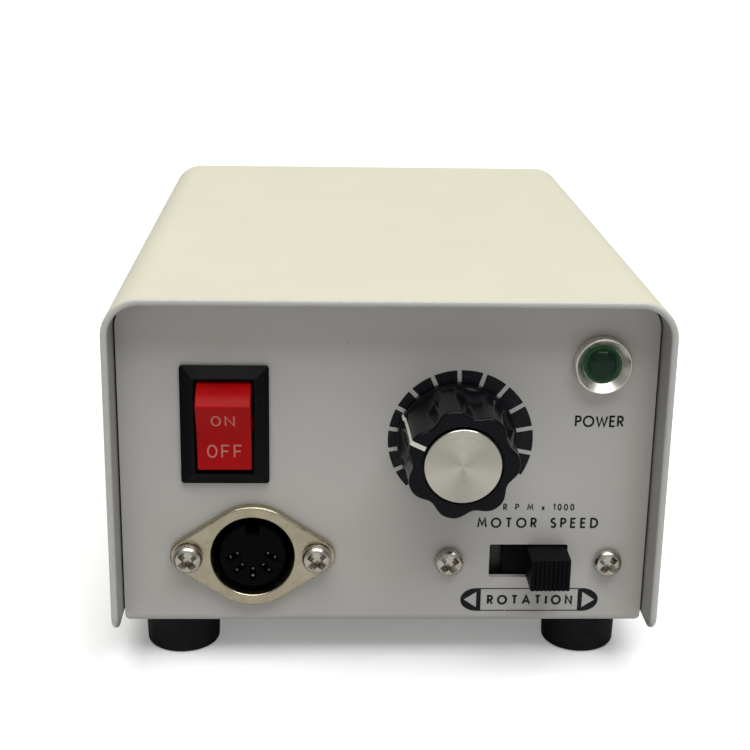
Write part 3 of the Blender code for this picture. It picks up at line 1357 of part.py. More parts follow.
def add_heat_sink():
    """The finned heat sink and the power transistor against its flat back."""
    place = seat("up", SINK_X, SINK_Y, BOARD_TOP_Z)
    add_part("heat_sink", prism(sink_outline(), SEAT, SEAT + SINK_HEIGHT), place, "aluminium")
    low = SEAT + DEVICE_LEG_LENGTH
    top = low + DEVICE_HEIGHT
    front, tab = -SEAT - DEVICE_THICKNESS, -SEAT - DEVICE_TAB_THICKNESS
    outline = [
        (-SEAT, low),
        (-SEAT, top + DEVICE_TAB_HEIGHT),
        (tab, top + DEVICE_TAB_HEIGHT),
        (tab, top),
        (front, top),
        (front, low),
    ]
    side_seat = seat("right", SINK_X, SINK_Y, BOARD_TOP_Z)
    body = prism(outline, -DEVICE_WIDTH / 2, DEVICE_WIDTH / 2)
    device = add_part("power_transistor", body, side_seat, "black_plastic")
    depth = (front - SEAT) / 2
    legs = [
        block(DEVICE_LEG_WIDTH, DEVICE_LEG_WIDTH, SEAT, low + LAP, side * DEVICE_LEG_PITCH, depth)
        for side in (-1, 0, 1)
    ]
    join(device, "legs", legs, place)


def build():
    """Builds the control box."""
    clear_scene()
    add_cover()
    add_chassis()
    add_cover_screws()
    add_feet()
    add_power_switch()
    add_socket()
    add_speed_knob()
    add_pilot_lamp()
    add_slide_switch("direction", on_front(DIRECTION_X, DIRECTION_HEIGHT))
    add_cord_bush()
    add_fuse_holder()
    add_pedal_jack()
    add_slide_switch("selector", on_rear(SELECTOR_X, SELECTOR_HEIGHT))
    add_transformer()
    add_board()
    add_capacitor()
    add_heat_sink()


build()
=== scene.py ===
"""Looks of a dental laboratory micromotor's control box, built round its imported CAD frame.

Forms are drawn in millimetres on seats whose third axis points out of the face that carries them,
and become pieces in metres. The front panel looks towards -Y and +Z is up.
"""

import logging
import math
from collections.abc import Callable, Iterable, Sequence
from dataclasses import dataclass, field
from enum import Enum

import bmesh
import bpy
from mathutils import Matrix, Vector


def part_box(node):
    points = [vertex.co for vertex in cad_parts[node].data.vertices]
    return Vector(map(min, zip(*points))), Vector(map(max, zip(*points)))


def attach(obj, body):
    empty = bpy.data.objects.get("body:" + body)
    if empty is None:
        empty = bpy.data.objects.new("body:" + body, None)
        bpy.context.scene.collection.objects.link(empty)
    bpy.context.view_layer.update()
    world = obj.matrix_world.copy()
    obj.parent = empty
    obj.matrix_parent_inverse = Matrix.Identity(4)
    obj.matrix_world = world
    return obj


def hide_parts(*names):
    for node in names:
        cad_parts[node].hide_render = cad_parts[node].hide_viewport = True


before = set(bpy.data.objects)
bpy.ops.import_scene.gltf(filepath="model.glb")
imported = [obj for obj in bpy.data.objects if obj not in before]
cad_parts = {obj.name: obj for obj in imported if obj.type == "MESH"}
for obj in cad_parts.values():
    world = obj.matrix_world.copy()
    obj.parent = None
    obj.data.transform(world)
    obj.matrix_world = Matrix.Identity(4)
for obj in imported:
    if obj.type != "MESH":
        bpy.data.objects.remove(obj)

Point = tuple[float, float]
Ring = list[tuple[float, float, float]]
Colour = tuple[float, float, float]
Input = bpy.types.NodeSocket | float | tuple

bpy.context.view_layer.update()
MM = 0.001
LOG = logging.getLogger("control_box")

# Distance of both panels' outer faces from the case's middle, height of the case's underside, and the
# play between fitted faces.
PANEL = 58.0
UNDERSIDE = 7.7
PLAY = 0.3


class Facing(Enum):
    """The way a face looks, as the three axes of a seat on it."""

    FRONT = ((1, 0, 0), (0, 0, 1), (0, -1, 0))
    REAR = ((-1, 0, 0), (0, 0, 1), (0, 1, 0))
    RIGHT = ((0, 1, 0), (0, 0, 1), (1, 0, 0))
    LEFT = ((0, -1, 0), (0, 0, 1), (-1, 0, 0))
    UP = ((1, 0, 0), (0, 1, 0), (0, 0, 1))
    DOWN = ((1, 0, 0), (0, -1, 0), (0, 0, -1))

    def seat(self, x: float = 0, y: float = 0, z: float = 0) -> Matrix:
        """Returns the placement of a seat at a point given in millimetres."""
        axes = Matrix([Vector(axis) for axis in self.value]).transposed().to_4x4()
        return Matrix.Translation(Vector((x, y, z)) * MM) @ axes


class Body(Enum):
    """The bodies of the frame that pieces ride on."""

    CASE = "case"
    ROCKER = "rocker"
    KNOB = "knob"
    DIRECTION = "direction_slide"
    SELECTOR = "selector_slide"
    FUSE = "fuse"
    CAP = "cap"


class Meeting(Enum):
    """What becomes of a form where it meets others."""

    CUT = "DIFFERENCE"
    JOIN = "UNION"
    TRIM = "INTERSECT"


class Ray(Enum):
    """The kinds of ray that the studio tells apart."""

    CAMERA = "Is Camera Ray"
    GLOSSY = "Is Glossy Ray"


def middle(node: str) -> Vector:
    """Returns the middle of a CAD node's box, in millimetres."""
    low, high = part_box(node)
    return (low + high) / 2 / MM


def front_seat(node: str) -> Matrix:
    """Returns the seat on the front panel at a CAD node's middle."""
    spot = middle(node)
    return Facing.FRONT.seat(spot.x, -PANEL, spot.z)


def polar(radius: float, angle: float) -> Point:
    """Returns a point of a circle round the origin."""
    return (radius * math.cos(angle), radius * math.sin(angle))


def arc(centre: Point, radius: float, start: float, end: float, steps: int) -> list[Point]:
    """Draws an arc, both ends included.

    Args:
        centre: The arc's centre.
        radius: Its radius.
        start: Angle of the first point, in radians.
        end: Angle of the last point.
        steps: Number of chords.

    Returns:
        The points, one more than the chords.
    """
    angles = [start + (end - start) * i / steps for i in range(steps + 1)]
    return [(centre[0] + radius * math.cos(a), centre[1] + radius * math.sin(a)) for a in angles]


def circle(radius: float, count: int, turn: float = 0.0) -> list[Point]:
    """Returns a closed ring of points."""
    return [polar(radius, turn + math.tau * i / count) for i in range(count)]


def rectangle(width: float, height: float) -> list[Point]:
    """Returns the four corners of a rectangle round the origin."""
    x, y = width / 2, height / 2
    return [(x, -y), (x, y), (-x, y), (-x, -y)]


def rounded(width: float, height: float, corner: float, steps: int = 5) -> list[Point]:
    """Draws a rectangle with round corners, round the origin.

    Args:
        width: Its width.
        height: Its height.
        corner: Radius of its corners.
        steps: Chords in each corner.

    Returns:
        The points, anticlockwise.
    """
    x, y = width / 2 - corner, height / 2 - corner
    points = []
    for quarter, centre in enumerate(((x, y), (-x, y), (-x, -y), (x, -y))):
        start = quarter * math.pi / 2
        points += arc(centre, corner, start, start + math.pi / 2, steps)
    return points


def hexagon(flats: float, count: int) -> list[Point]:
    """Draws a hexagon at even angles, so that it pairs off with a circle.

    Args:
        flats: Distance across its flats.
        count: Number of points.

    Returns:
        The points.
    """
    sixth = math.pi / 3
    angles = [math.tau * i / count for i in range(count)]
    return [polar(flats / 2 / math.cos((a + sixth / 2) % sixth - sixth / 2), a) for a in angles]


def arch(half: float, foot: float, crown: float, bend: float, steps: int) -> list[Point]:
    """Draws an open path up one leg, over the crown and down the other leg.

    Args:
        half: Half of the distance between the legs.
        foot: Height of the legs' ends.
        crown: Height of the crown, above the foot or below it.
        bend: Radius of the two bends.
        steps: Chords in each bend.

    Returns:
        The path's points, from the left leg to the right one.
    """
    way = 1 if crown > foot else -1
    left = arc((bend - half, 0), bend, math.pi, math.pi / 2, steps)
    right = arc((half - bend, 0), bend, math.pi / 2, 0, steps)
    over = [(x, crown - way * (bend - y)) for x, y in left + right]
    return [(-half, foot), *over, (half, foot)]


def lift(outline: Iterable[Point], height: float) -> Ring:
    """Raises a flat outline to a height."""
    return [(x, y, height) for x, y in outline]


def disc(radius: float, height: float, count: int, turn: float = 0.0) -> Ring:
    """Draws a round cross-section at a height."""
    return lift(circle(radius, count, turn), height)


def fluted(
    radius: float,
    depth: float,
    height: float,
    count: int,
    flutes: int,
    start: float = 0.0,
    hollow: float = 1.0,
) -> Ring:
    """Draws a round cross-section with flutes.

    Args:
        radius: Its radius at the lobes.
        depth: Depth of its flutes.
        height: Its height.
        count: Number of points.
        flutes: Number of flutes.
        start: Angle of one lobe's middle, in radians.
        hollow: How narrow the flutes are against the lobes.

    Returns:
        The cross-section.
    """
    points = []
    for i in range(count):
        turn = math.tau * i / count
        wave = (1 - math.cos(flutes * turn)) / 2
        points.append(polar(radius - depth * wave**hollow, start + turn))
    return lift(points, height)


class Form:
    """A mesh in the making, in millimetres on its seat."""

    def __init__(self) -> None:
        """Starts with no faces."""
        self.mesh = bmesh.new()

    @classmethod
    def skin(cls, rings: Sequence[Ring], closed: bool = False) -> "Form":
        """Bridges rings of equal counts into one body.

        Args:
            rings: The cross-sections, in order.
            closed: Whether the last ring meets the first; otherwise both ends are capped.

        Returns:
            The body, its faces looking outwards.
        """
        form = cls()
        loops = [[form.mesh.verts.new(point) for point in ring] for ring in rings]
        pairs = list(zip(loops, loops[1:]))
        if closed:
            pairs.append((loops[-1], loops[0]))
        for near, far in pairs:
            for i in range(len(near)):
                j = (i + 1) % len(near)
                form.mesh.faces.new((near[i], near[j], far[j], far[i]))
        if not closed:
            form.mesh.faces.new(loops[0][::-1])
            form.mesh.faces.new(loops[-1])
        bmesh.ops.recalc_face_normals(form.mesh, faces=form.mesh.faces)
        return form

    @classmethod
    def prism(cls, outline: Sequence[Point], low: float, high: float) -> "Form":
        """Returns a straight body on an outline."""
        return cls.skin([lift(outline, low), lift(outline, high)])

    @classmethod
    def turned(cls, profile: Iterable[Point], count: int = 96, closed: bool = False) -> "Form":
        """Returns a turned body from (radius, height) pairs."""
        return cls.skin([lift(circle(r, count), h) for r, h in profile], closed)

    @classmethod
    def block(cls, width: float, height: float, low: float, high: float) -> "Form":
        """Returns a box round the seat's third axis."""
        return cls.prism(rectangle(width, height), low, high)

    def carried(self, matrix: Matrix) -> "Form":
        """Moves the form by a matrix in millimetres."""
        bmesh.ops.transform(self.mesh, verts=self.mesh.verts, matrix=matrix)
        return self

    def moved(self, x: float = 0, y: float = 0, z: float = 0) -> "Form":
        """Moves the form on its seat."""
        return self.carried(Matrix.Translation((x, y, z)))

    def rolled(self, angle: float, axis: str = "Z") -> "Form":
        """Turns the form about one of its seat's axes."""
        return self.carried(Matrix.Rotation(angle, 4, axis))

    def with_(self, others: Iterable["Form"]) -> "Form":
        """Takes up other forms as they are, and uses them up.

        Args:
            others: The forms.

        Returns:
            The form itself, changed.
        """
        for other in others:
            mesh = bpy.data.meshes.new("part")
            other.mesh.to_mesh(mesh)
            other.mesh.free()
            self.mesh.from_mesh(mesh)
            bpy.data.meshes.remove(mesh)
        return self

    def held(self) -> bpy.types.Object:
        """Hangs the mesh on a passing object, for modifiers to work on.

        Returns:
            The object, linked to the scene.
        """
        thing = bpy.data.objects.new("held", bpy.data.meshes.new("held"))
        self.mesh.to_mesh(thing.data)
        bpy.context.scene.collection.objects.link(thing)
        return thing

    def after(self, kind: str, **settings: object) -> "Form":
        """Applies a modifier to the form.

        Args:
            kind: The modifier's type.
            settings: Its own properties.

        Returns:
            The form itself, changed.
        """
        thing = self.held()
        modifier = thing.modifiers.new("change", kind)
        for key, value in settings.items():
            setattr(modifier, key, value)
        graph = bpy.context.evaluated_depsgraph_get()
        solved = bpy.data.meshes.new_from_object(thing.evaluated_get(graph))
        self.mesh.clear()
        self.mesh.from_mesh(solved)
        held_mesh = thing.data
        bpy.data.objects.remove(thing, do_unlink=True)
        bpy.data.meshes.remove(held_mesh)
        bpy.data.meshes.remove(solved)
        return self

    def combined(self, meeting: Meeting, others: Iterable["Form"]) -> "Form":
        """Joins, cuts or trims the form with others, which it uses up.

        Args:
            meeting: What becomes of the form.
            others: The other forms.

        Returns:
            The form itself, changed.
        """
        helper_form = Form().with_(others)
        helper = helper_form.held()
        self.after("BOOLEAN", operation=meeting.value, solver="EXACT", object=helper)
        helper_mesh = helper.data
        bpy.data.objects.remove(helper, do_unlink=True)
        bpy.data.meshes.remove(helper_mesh)
        helper_form.mesh.free()
        return self

    def cut(self, *others: "Form") -> "Form":
        """Takes other forms away."""
        return self.combined(Meeting.CUT, others)

    def joined(self, *others: "Form") -> "Form":
        """Makes other forms one body with this one."""
        return self.combined(Meeting.JOIN, others)

    def eased(self, width: float, segments: int = 2, angle: float = 35.0) -> "Form":
        """Rounds the edges that are sharper than an angle in degrees."""
        limit = {"limit_method": "ANGLE", "angle_limit": math.radians(angle)}
        return self.after("BEVEL", width=width, segments=segments, **limit)

    def piece(self, name: str, seat: Matrix, finish: "Finish", body: Body, *nodes: str) -> bpy.types.Object:
        """Turns the form into a piece of the scene.

        Args:
            name: The piece's name.
            seat: Its placement.
            finish: What it is made of.
            body: The CAD body it moves with.
            nodes: The CAD nodes that it stands for.

        Returns:
            The piece, in metres, with even shading.
        """
        mesh = bpy.data.meshes.new(name)
        self.carried(Matrix.Scale(MM, 4)).mesh.to_mesh(mesh)
        self.mesh.free()
        mesh.shade_smooth()
        mesh.set_sharp_from_angle(angle=math.radians(32))
        mesh.materials.append(finish.material())
        made = bpy.data.objects.new(name, mesh)
        made.matrix_world = seat
        bpy.context.scene.collection.objects.link(made)
        weighting = made.modifiers.new("even_shading", "WEIGHTED_NORMAL")
        weighting.keep_sharp = True
        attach(made, body.value)
        if nodes:
            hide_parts(*nodes)
        LOG.info("piece %s on %s", name, body.value)
        return made


class Recipe:
    """Builds the node tree of one material round its Principled shader."""

    def __init__(self, name: str, **values: float) -> None:
        """Starts a material.

        Args:
            name: Its name.
            values: Plain values for the shader's sockets, named with underscores.
        """
        self.material = bpy.data.materials.new(name)
        self.material.use_nodes = True
        self.tree = self.material.node_tree
        self.shader = self.tree.nodes["Principled BSDF"]
        for key, value in values.items():
            self.set(key.replace("_", " "), value)
        position = self.node("TexCoord").outputs["Object"]
        scale = {"Vector": position, "Scale": 1 / MM}
        self.place = self.node("VectorMath", scale, operation="SCALE").outputs[0]

    def set(self, socket: str, value: Input) -> None:
        """Feeds one of the shader's sockets."""
        self.feed(self.shader.inputs[socket], value)

    def finished(self, colour: Input, roughness: Input, normal: Input) -> bpy.types.Material:
        """Feeds the shader's chief sockets.

        Args:
            colour: The base colour.
            roughness: The roughness.
            normal: The normal.

        Returns:
            The material.
        """
        self.set("Base Color", colour)
        self.set("Roughness", roughness)
        self.set("Normal", normal)
        return self.material

    def feed(self, socket: bpy.types.NodeSocket, value: Input) -> None:
        """Links a socket, or gives it a plain value.

        Args:
            socket: The socket.
            value: Another socket, or the plain value.
        """
        if isinstance(value, bpy.types.NodeSocket):
            self.tree.links.new(value, socket)
        else:
            socket.default_value = value

    def node(self, kind: str, inputs: dict | None = None, **settings: str | bool) -> bpy.types.Node:
        """Adds a node.

        Args:
            kind: The node's type, without its usual prefix.
            inputs: Values or sockets for its inputs, by name or index.
            settings: Its own properties.

        Returns:
            The node.
        """
        made = self.tree.nodes.new(f"ShaderNode{kind}")
        for key, value in settings.items():
            setattr(made, key, value)
        for key, value in (inputs or {}).items():
            self.feed(made.inputs[key], value)
        return made

    def noise(
        self, size: float, detail: float = 2.0, stretch: Colour = (1, 1, 1), seed: float = 0.0
    ) -> Input:
        """Adds a noise.

        Args:
            size: Size of its patches, in millimetres.
            detail: How many finer layers it has.
            stretch: How much denser it is along each axis.
            seed: Moves it elsewhere.

        Returns:
            The socket with its value, about 0.3 to 0.7.
        """
        scale = tuple(s / size for s in stretch)
        mapping = {"Vector": self.place, "Location": (seed, seed, seed), "Scale": scale}
        mapped = self.node("Mapping", mapping).outputs[0]
        inputs = {"Vector": mapped, "Scale": 1.0, "Detail": detail}
        return self.node("TexNoise", inputs).outputs[0]

    def maths(self, operation: str, first: Input, second: Input = 0.0) -> Input:
        """Adds a sum, product or comparison of two values."""
        return self.node("Math", {0: first, 1: second}, operation=operation).outputs[0]

    def spread(self, value: Input, start: float, end: float, low: float = 0.0, high: float = 1.0) -> Input:
        """Maps a range of a value on another range, and keeps it within that.

        Args:
            value: The value.
            start: Start of its range.
            end: End of its range.
            low: What the start becomes.
            high: What the end becomes.

        Returns:
            The socket with the mapped value.
        """
        keys = ("Value", "From Min", "From Max", "To Min", "To Max")
        inputs = dict(zip(keys, (value, start, end, low, high)))
        return self.node("MapRange", inputs).outputs[0]

    def patches(
        self, size: float, detail: float, low: float = 0.0, high: float = 1.0, **where: float | Colour
    ) -> Input:
        """Adds a noise that is spread from a low to a high value."""
        return self.spread(self.noise(size, detail, **where), 0.3, 0.7, low, high)

    def product(self, first: Input, second: Input) -> Input:
        """Multiplies two values."""
        return self.maths("MULTIPLY", first, second)

    def total(self, first: Input, second: Input) -> Input:
        """Adds two values."""
        return self.maths("ADD", first, second)

    def mix(self, factor: Input, first: Input, second: Input) -> Input:
        """Mixes two colours, which are sockets or plain colours.

        Args:
            factor: Share of the second colour.
            first: The first colour.
            second: The second colour.

        Returns:
            The socket with the mixed colour.
        """
        colours = [(*c, 1.0) if isinstance(c, tuple) and len(c) == 3 else c for c in (first, second)]
        inputs = {0: factor, 6: colours[0], 7: colours[1]}
        return self.node("Mix", inputs, data_type="RGBA").outputs[2]

    def bump(self, height: Input, depth: float, normal: Input | None = None) -> Input:
        """Adds relief.

        Args:
            height: The height, 0 to 1.
            depth: What full height measures, in millimetres.
            normal: Other relief that lies under it.

        Returns:
            The socket with the normal.
        """
        inputs = {"Height": height, "Distance": depth * MM, "Strength": 1.0}
        if normal is not None:
            inputs["Normal"] = normal
        return self.node("Bump", inputs).outputs[0]

    def axis(self, which: int) -> Input:
        """Returns one coordinate of the place, in millimetres."""
        return self.node("SeparateXYZ", {0: self.place}).outputs[which]

    def specks(self, cell: float, radius: float, share: float) -> Input:
        """Strews small spots.

        Args:
            cell: Size of the cells that may hold a spot, in millimetres.
            radius: A spot's radius, in millimetres.
            share: The share of cells that hold one.

        Returns:
            The socket that is 1 in a spot and 0 elsewhere.
        """
        found = self.node("TexVoronoi", {"Vector": self.place, "Scale": 1 / cell})
        near = self.spread(found.outputs["Distance"], radius / cell, 0.5 * radius / cell)
        drawn = self.node("SeparateColor", {0: found.outputs["Color"]}).outputs[0]
        return self.product(near, self.maths("LESS_THAN", drawn, share))

    def outwards(self) -> tuple[Input, Input]:
        """Measures the place from the seat's third axis.

        Returns:
            The sockets of the flat vector and of its length, in millimetres.
        """
        flat = self.node("VectorMath", {0: self.place, 1: (1, 1, 0)}, operation="MULTIPLY").outputs[0]
        return flat, self.node("VectorMath", {0: flat}, operation="LENGTH").outputs["Value"]


@dataclass(frozen=True)
class Finish:
    """What a piece is made of; its material is made once."""

    name: str
    slot: str
    colour: Colour

    def material(self) -> bpy.types.Material:
        """Returns the material, making it if it doesn't exist yet."""
        return bpy.data.materials.get(self.name) or self.make()

    def make(self) -> bpy.types.Material:
        """Makes the material; each kind of finish has its own way."""
        raise NotImplementedError

    def tint(self, factor: float) -> Colour:
        """Returns the colour, lighter or darker by a factor."""
        return tuple(min(1.0, c * factor) for c in self.colour)


@dataclass(frozen=True)
class Paint(Finish):
    """Stoved enamel on sheet steel: orange peel, faint patches, a little haze and dark specks."""

    roughness: float = 0.38
    peel: float = 0.012
    haze: Colour = (0.95, 0.94, 0.91)
    speck_share: float = 0.10

    def shade_and_wear(self, recipe: Recipe, colour: Input) -> Input:
        """Returns the colour as it is; a kind of paint with painted shade or wear somewhere has its own way.
        """
        return colour

    def make(self) -> bpy.types.Material:
        """Makes the material.

        Returns:
            The material.
        """
        recipe = Recipe(self.name, IOR=1.5)
        patches = recipe.spread(recipe.noise(42, 3, seed=3.1), 0.35, 0.65)
        colour = recipe.mix(patches, self.tint(0.993), self.tint(1.004))
        haze = recipe.spread(recipe.noise(9, 3, seed=8.7), 0.3, 0.75, 0, 0.10)
        colour = recipe.mix(haze, colour, tuple(c * f for c, f in zip(self.colour, self.haze)))
        colour = self.shade_and_wear(recipe, colour)
        spots = recipe.specks(7.5, 0.16, self.speck_share)
        colour = recipe.mix(spots, colour, tuple(0.25 * c for c in self.colour))
        smears = recipe.noise(14, 4, stretch=(1, 1, 2.5), seed=5.5)
        peel = recipe.bump(recipe.noise(0.9, 1.5, seed=2.0), self.peel)
        return recipe.finished(
            colour,
            recipe.spread(smears, 0.3, 0.7, self.roughness - 0.02, self.roughness + 0.03),
            recipe.bump(recipe.noise(12, 1, seed=7.0), 0.02, peel),
        )


@dataclass(frozen=True)
class CoverPaint(Paint):
    """The cover's paint, with painted shade on its inner side and grey along its two cut ends that is partly
    worn paint and partly painted shade.
    """

    # Grey of the two cut ends: partly worn paint, partly painted shade on the edge faces.
    rim: Colour = (0.54, 0.535, 0.505)
    rim_at: float = 65.0
    # Painted shade of the inner side, which lies in shade under the top and between the walls.
    inner: Colour = (0.34, 0.333, 0.315)
    bend_at: Point = (40.5, 61.7)
    bend: float = 5.9

    def shade_and_wear(self, recipe: Recipe, colour: Input) -> Input:
        """Paints shade on the inner side, told by the distance from the bends' centres, and greys the cut
        ends with wear and painted shade.

        Args:
            recipe: The paint's recipe.
            colour: The colour of the outer side.

        Returns:
            The socket with the colour of every side.
        """
        out = recipe.maths("SUBTRACT", recipe.maths("ABSOLUTE", recipe.axis(0)), self.bend_at[0])
        out = recipe.maths("MAXIMUM", out, 0.0)
        up = recipe.maths("MAXIMUM", recipe.maths("SUBTRACT", recipe.axis(2), self.bend_at[1]), 0.0)
        away = recipe.total(recipe.product(out, out), recipe.product(up, up))
        # Painted shade: the inner side, within a bend's reach of the bends' centres, takes the dark inner
        # colour.
        colour = recipe.mix(recipe.maths("LESS_THAN", away, self.bend**2), colour, self.inner)
        # The cut ends take the rim grey, which is partly wear and partly painted shade.
        along = recipe.maths("ABSOLUTE", recipe.axis(1))
        wear_and_shade = recipe.spread(recipe.noise(1.2, 4, seed=1.3), 0.35, 0.6, 0.85, 1.0)
        edge = recipe.spread(along, self.rim_at - 0.7, self.rim_at - 0.1)
        return recipe.mix(recipe.product(edge, wear_and_shade), colour, self.rim)


@dataclass(frozen=True)
class Moulding(Finish):
    """Moulded plastic: fine grain, flow marks, light scuffs and dust."""

    roughness: float = 0.35
    grain: float = 0.006
    level: float = 0.5
    scuff: float = 0.5
    ior: float = 1.48

    def make(self) -> bpy.types.Material:
        """Makes the material.

        Returns:
            The material.
        """
        recipe = Recipe(self.name, IOR=self.ior, Specular_IOR_Level=self.level)
        flow = recipe.patches(7, 3, stretch=(1, 1, 0.4), seed=4.0)
        colour = recipe.mix(flow, self.tint(0.9), self.tint(1.15))
        lines = recipe.noise(0.35, 2, stretch=(1, 0.08, 0.3), seed=6.0)
        scratches = recipe.spread(lines, 0.66, 0.74, 0, self.scuff)
        pale = tuple(0.7 * c + 0.05 for c in self.colour)
        rough = recipe.patches(3, 3, self.roughness - 0.04, self.roughness + 0.06, seed=9.0)
        return recipe.finished(
            recipe.mix(recipe.product(scratches, 0.5), colour, pale),
            recipe.total(rough, recipe.product(scratches, 0.25)),
            recipe.bump(recipe.noise(0.22, 2, seed=1.0), self.grain),
        )


@dataclass(frozen=True)
class Rubber(Finish):
    """Black rubber, dull, pitted and a little dusty."""

    dust: Colour = (0.022, 0.021, 0.020)

    def make(self) -> bpy.types.Material:
        """Makes the material.

        Returns:
            The material.
        """
        recipe = Recipe(self.name, IOR=1.5, Specular_IOR_Level=0.15)
        dust = recipe.spread(recipe.noise(2.5, 4, seed=2.0), 0.45, 0.8, 0, 0.35)
        return recipe.finished(
            recipe.mix(dust, self.colour, self.dust),
            recipe.patches(1.5, 3, 0.55, 0.75),
            recipe.bump(recipe.noise(0.35, 2, seed=3.0), 0.015),
        )


@dataclass(frozen=True)
class Plated(Finish):
    """Plated or bare metal: mottled tone, faint stains, drawn lines and fine pits."""

    roughness: float = 0.25
    stain: Colour = (0.35, 0.31, 0.22)
    stained: float = 0.25
    lines: Colour = (1, 1, 1)
    relief: float = 0.004

    def make(self) -> bpy.types.Material:
        """Makes the material.

        Returns:
            The material.
        """
        recipe = Recipe(self.name, Metallic=1.0)
        tone = recipe.patches(3.5, 4, seed=4.4)
        colour = recipe.mix(tone, self.tint(0.88), self.tint(1.06))
        marks = recipe.spread(recipe.noise(1.6, 5, seed=7.7), 0.52, 0.78, 0, self.stained)
        rough = recipe.patches(1.1, 4, self.roughness - 0.06, self.roughness + 0.08, seed=0.6)
        drawn = recipe.bump(recipe.noise(0.16, 2, stretch=self.lines), self.relief)
        return recipe.finished(
            recipe.mix(marks, colour, self.stain),
            recipe.total(rough, recipe.product(marks, 0.3)),
            recipe.bump(recipe.noise(1.4, 1, seed=5.0), self.relief * 1.5, drawn),
        )


@dataclass(frozen=True)
class SlideFrame(Finish):
    """The plated frame of a slide switch, with painted shade, dark and streaked, across its channel."""

    channel: Point = (54.5, 56.45)
    # Colours of the painted shade in the channel.
    channel_shade: Colour = (0.008, 0.007, 0.008)
    pale_channel_shade: Colour = (0.018, 0.015, 0.014)

    def make(self) -> bpy.types.Material:
        """Makes the material; the channel is told from the ears by its distance from the case's middle, and
        is painted dark as shade.

        Returns:
            The material.
        """
        recipe = Recipe(self.name)
        depth = recipe.maths("ABSOLUTE", recipe.axis(1))
        deep = recipe.maths("GREATER_THAN", depth, self.channel[0])
        inside = recipe.product(deep, recipe.maths("LESS_THAN", depth, self.channel[1]))
        # Painted shade in the slot's channel: a dark, streaked colour where the slot shows only shade.
        shade_streaks = recipe.patches(0.8, 4, stretch=(0.3, 1, 1))
        board = recipe.mix(shade_streaks, self.channel_shade, self.pale_channel_shade)
        steel = recipe.mix(recipe.patches(3, 4), self.tint(0.9), self.tint(1.08))
        recipe.set("Metallic", recipe.maths("SUBTRACT", 1.0, inside))
        return recipe.finished(
            recipe.mix(inside, steel, board),
            recipe.patches(1.2, 3, 0.32, 0.5, seed=2),
            recipe.bump(recipe.noise(0.3, 2), 0.006),
        )


@dataclass(frozen=True)
class SpunDisc(Finish):
    """Aluminium faced on a lathe: fine rings round the seat's third axis that lean the normal, and fans of
    painted highlight and shade round that axis.
    """

    roughness: float = 0.22
    rings: float = 14.0
    slope: float = 0.30
    painted_fans: float = 3.0
    painted_fan_turn: float = 0.96

    def make(self) -> bpy.types.Material:
        """Makes the material, its normal leaning in and out from ring to ring, with painted fans of highlight
        and shade in its colour.

        Returns:
            The material.
        """
        recipe = Recipe(self.name, Metallic=1.0)
        flat, radius = recipe.outwards()
        outwards = recipe.node("VectorMath", {0: flat}, operation="NORMALIZE").outputs[0]
        rings = {"W": recipe.product(radius, self.rings), "Scale": 1.0, "Detail": 3.0}
        wave = recipe.node("TexNoise", rings, noise_dimensions="1D").outputs[0]
        lean = recipe.spread(wave, 0.2, 0.8, -self.slope, self.slope)
        frames = {"vector_type": "NORMAL", "convert_from": "OBJECT", "convert_to": "WORLD"}
        world = recipe.node("VectorTransform", {0: outwards}, **frames).outputs[0]
        leaning = recipe.node("VectorMath", {0: world, "Scale": lean}, operation="SCALE").outputs[0]
        upright = recipe.node("NewGeometry").outputs["Normal"]
        total = recipe.node("VectorMath", {0: upright, 1: leaning}, operation="ADD").outputs[0]
        tone = recipe.mix(recipe.spread(wave, 0.3, 0.7), self.tint(0.93), self.tint(1.04))
        # Painted highlight: lighter and darker fans round the axis, painted into the colour where a spun face
        # would spread its reflection.
        angle = recipe.maths("ARCTAN2", recipe.axis(1), recipe.axis(0))
        drift = recipe.product(recipe.noise(4.0, 1, seed=2.6), 1.2)
        turned = recipe.total(recipe.product(angle, self.painted_fans), drift)
        painted_fan = recipe.spread(recipe.maths("COSINE", recipe.total(turned, self.painted_fan_turn)), -1, 1)
        tone = recipe.mix(painted_fan, recipe.mix(0.5, tone, self.tint(0.55)), tone)
        stains = recipe.spread(recipe.noise(2.4, 4, seed=1.1), 0.55, 0.8, 0, 0.25)
        rough = recipe.patches(1.5, 3, self.roughness - 0.04, self.roughness + 0.06)
        return recipe.finished(
            recipe.mix(stains, tone, self.tint(0.8)),
            rough,
            recipe.node("VectorMath", {0: total}, operation="NORMALIZE").outputs[0],
        )


@dataclass(frozen=True)
class Lens(Finish):
    """Clear coloured plastic over dark: deeper in the middle, paler where the wall is thin."""

    edge: Colour = (0.012, 0.085, 0.022)
    edge_from: float = 2.45
    edge_to: float = 2.75

    def make(self) -> bpy.types.Material:
        """Makes the material.

        Returns:
            The material.
        """
        recipe = Recipe(self.name, IOR=1.4, Specular_IOR_Level=0.35)
        uneven = recipe.patches(1.2, 2, -0.12, 0.12)
        rim = recipe.spread(recipe.total(recipe.outwards()[1], uneven), self.edge_from, self.edge_to)
        return recipe.finished(
            recipe.mix(rim, self.colour, self.edge),
            recipe.patches(0.8, 3, 0.14, 0.22),
            recipe.bump(recipe.noise(0.5, 1), 0.004),
        )


@dataclass(frozen=True)
class Glass(Finish):
    """The clear tube of a fuse."""

    def make(self) -> bpy.types.Material:
        """Makes the material.

        Returns:
            The material.
        """
        recipe = Recipe(self.name, IOR=1.5, Transmission_Weight=0.9)
        streaks = recipe.spread(recipe.noise(0.8, 2, stretch=(1, 1, 0.1)), 0.4, 0.7)
        return recipe.finished(
            recipe.mix(streaks, self.colour, self.tint(0.93)),
            recipe.patches(0.6, 3, 0.02, 0.08),
            recipe.bump(recipe.noise(2.0, 1, stretch=(1, 1, 0.2)), 0.01),
        )


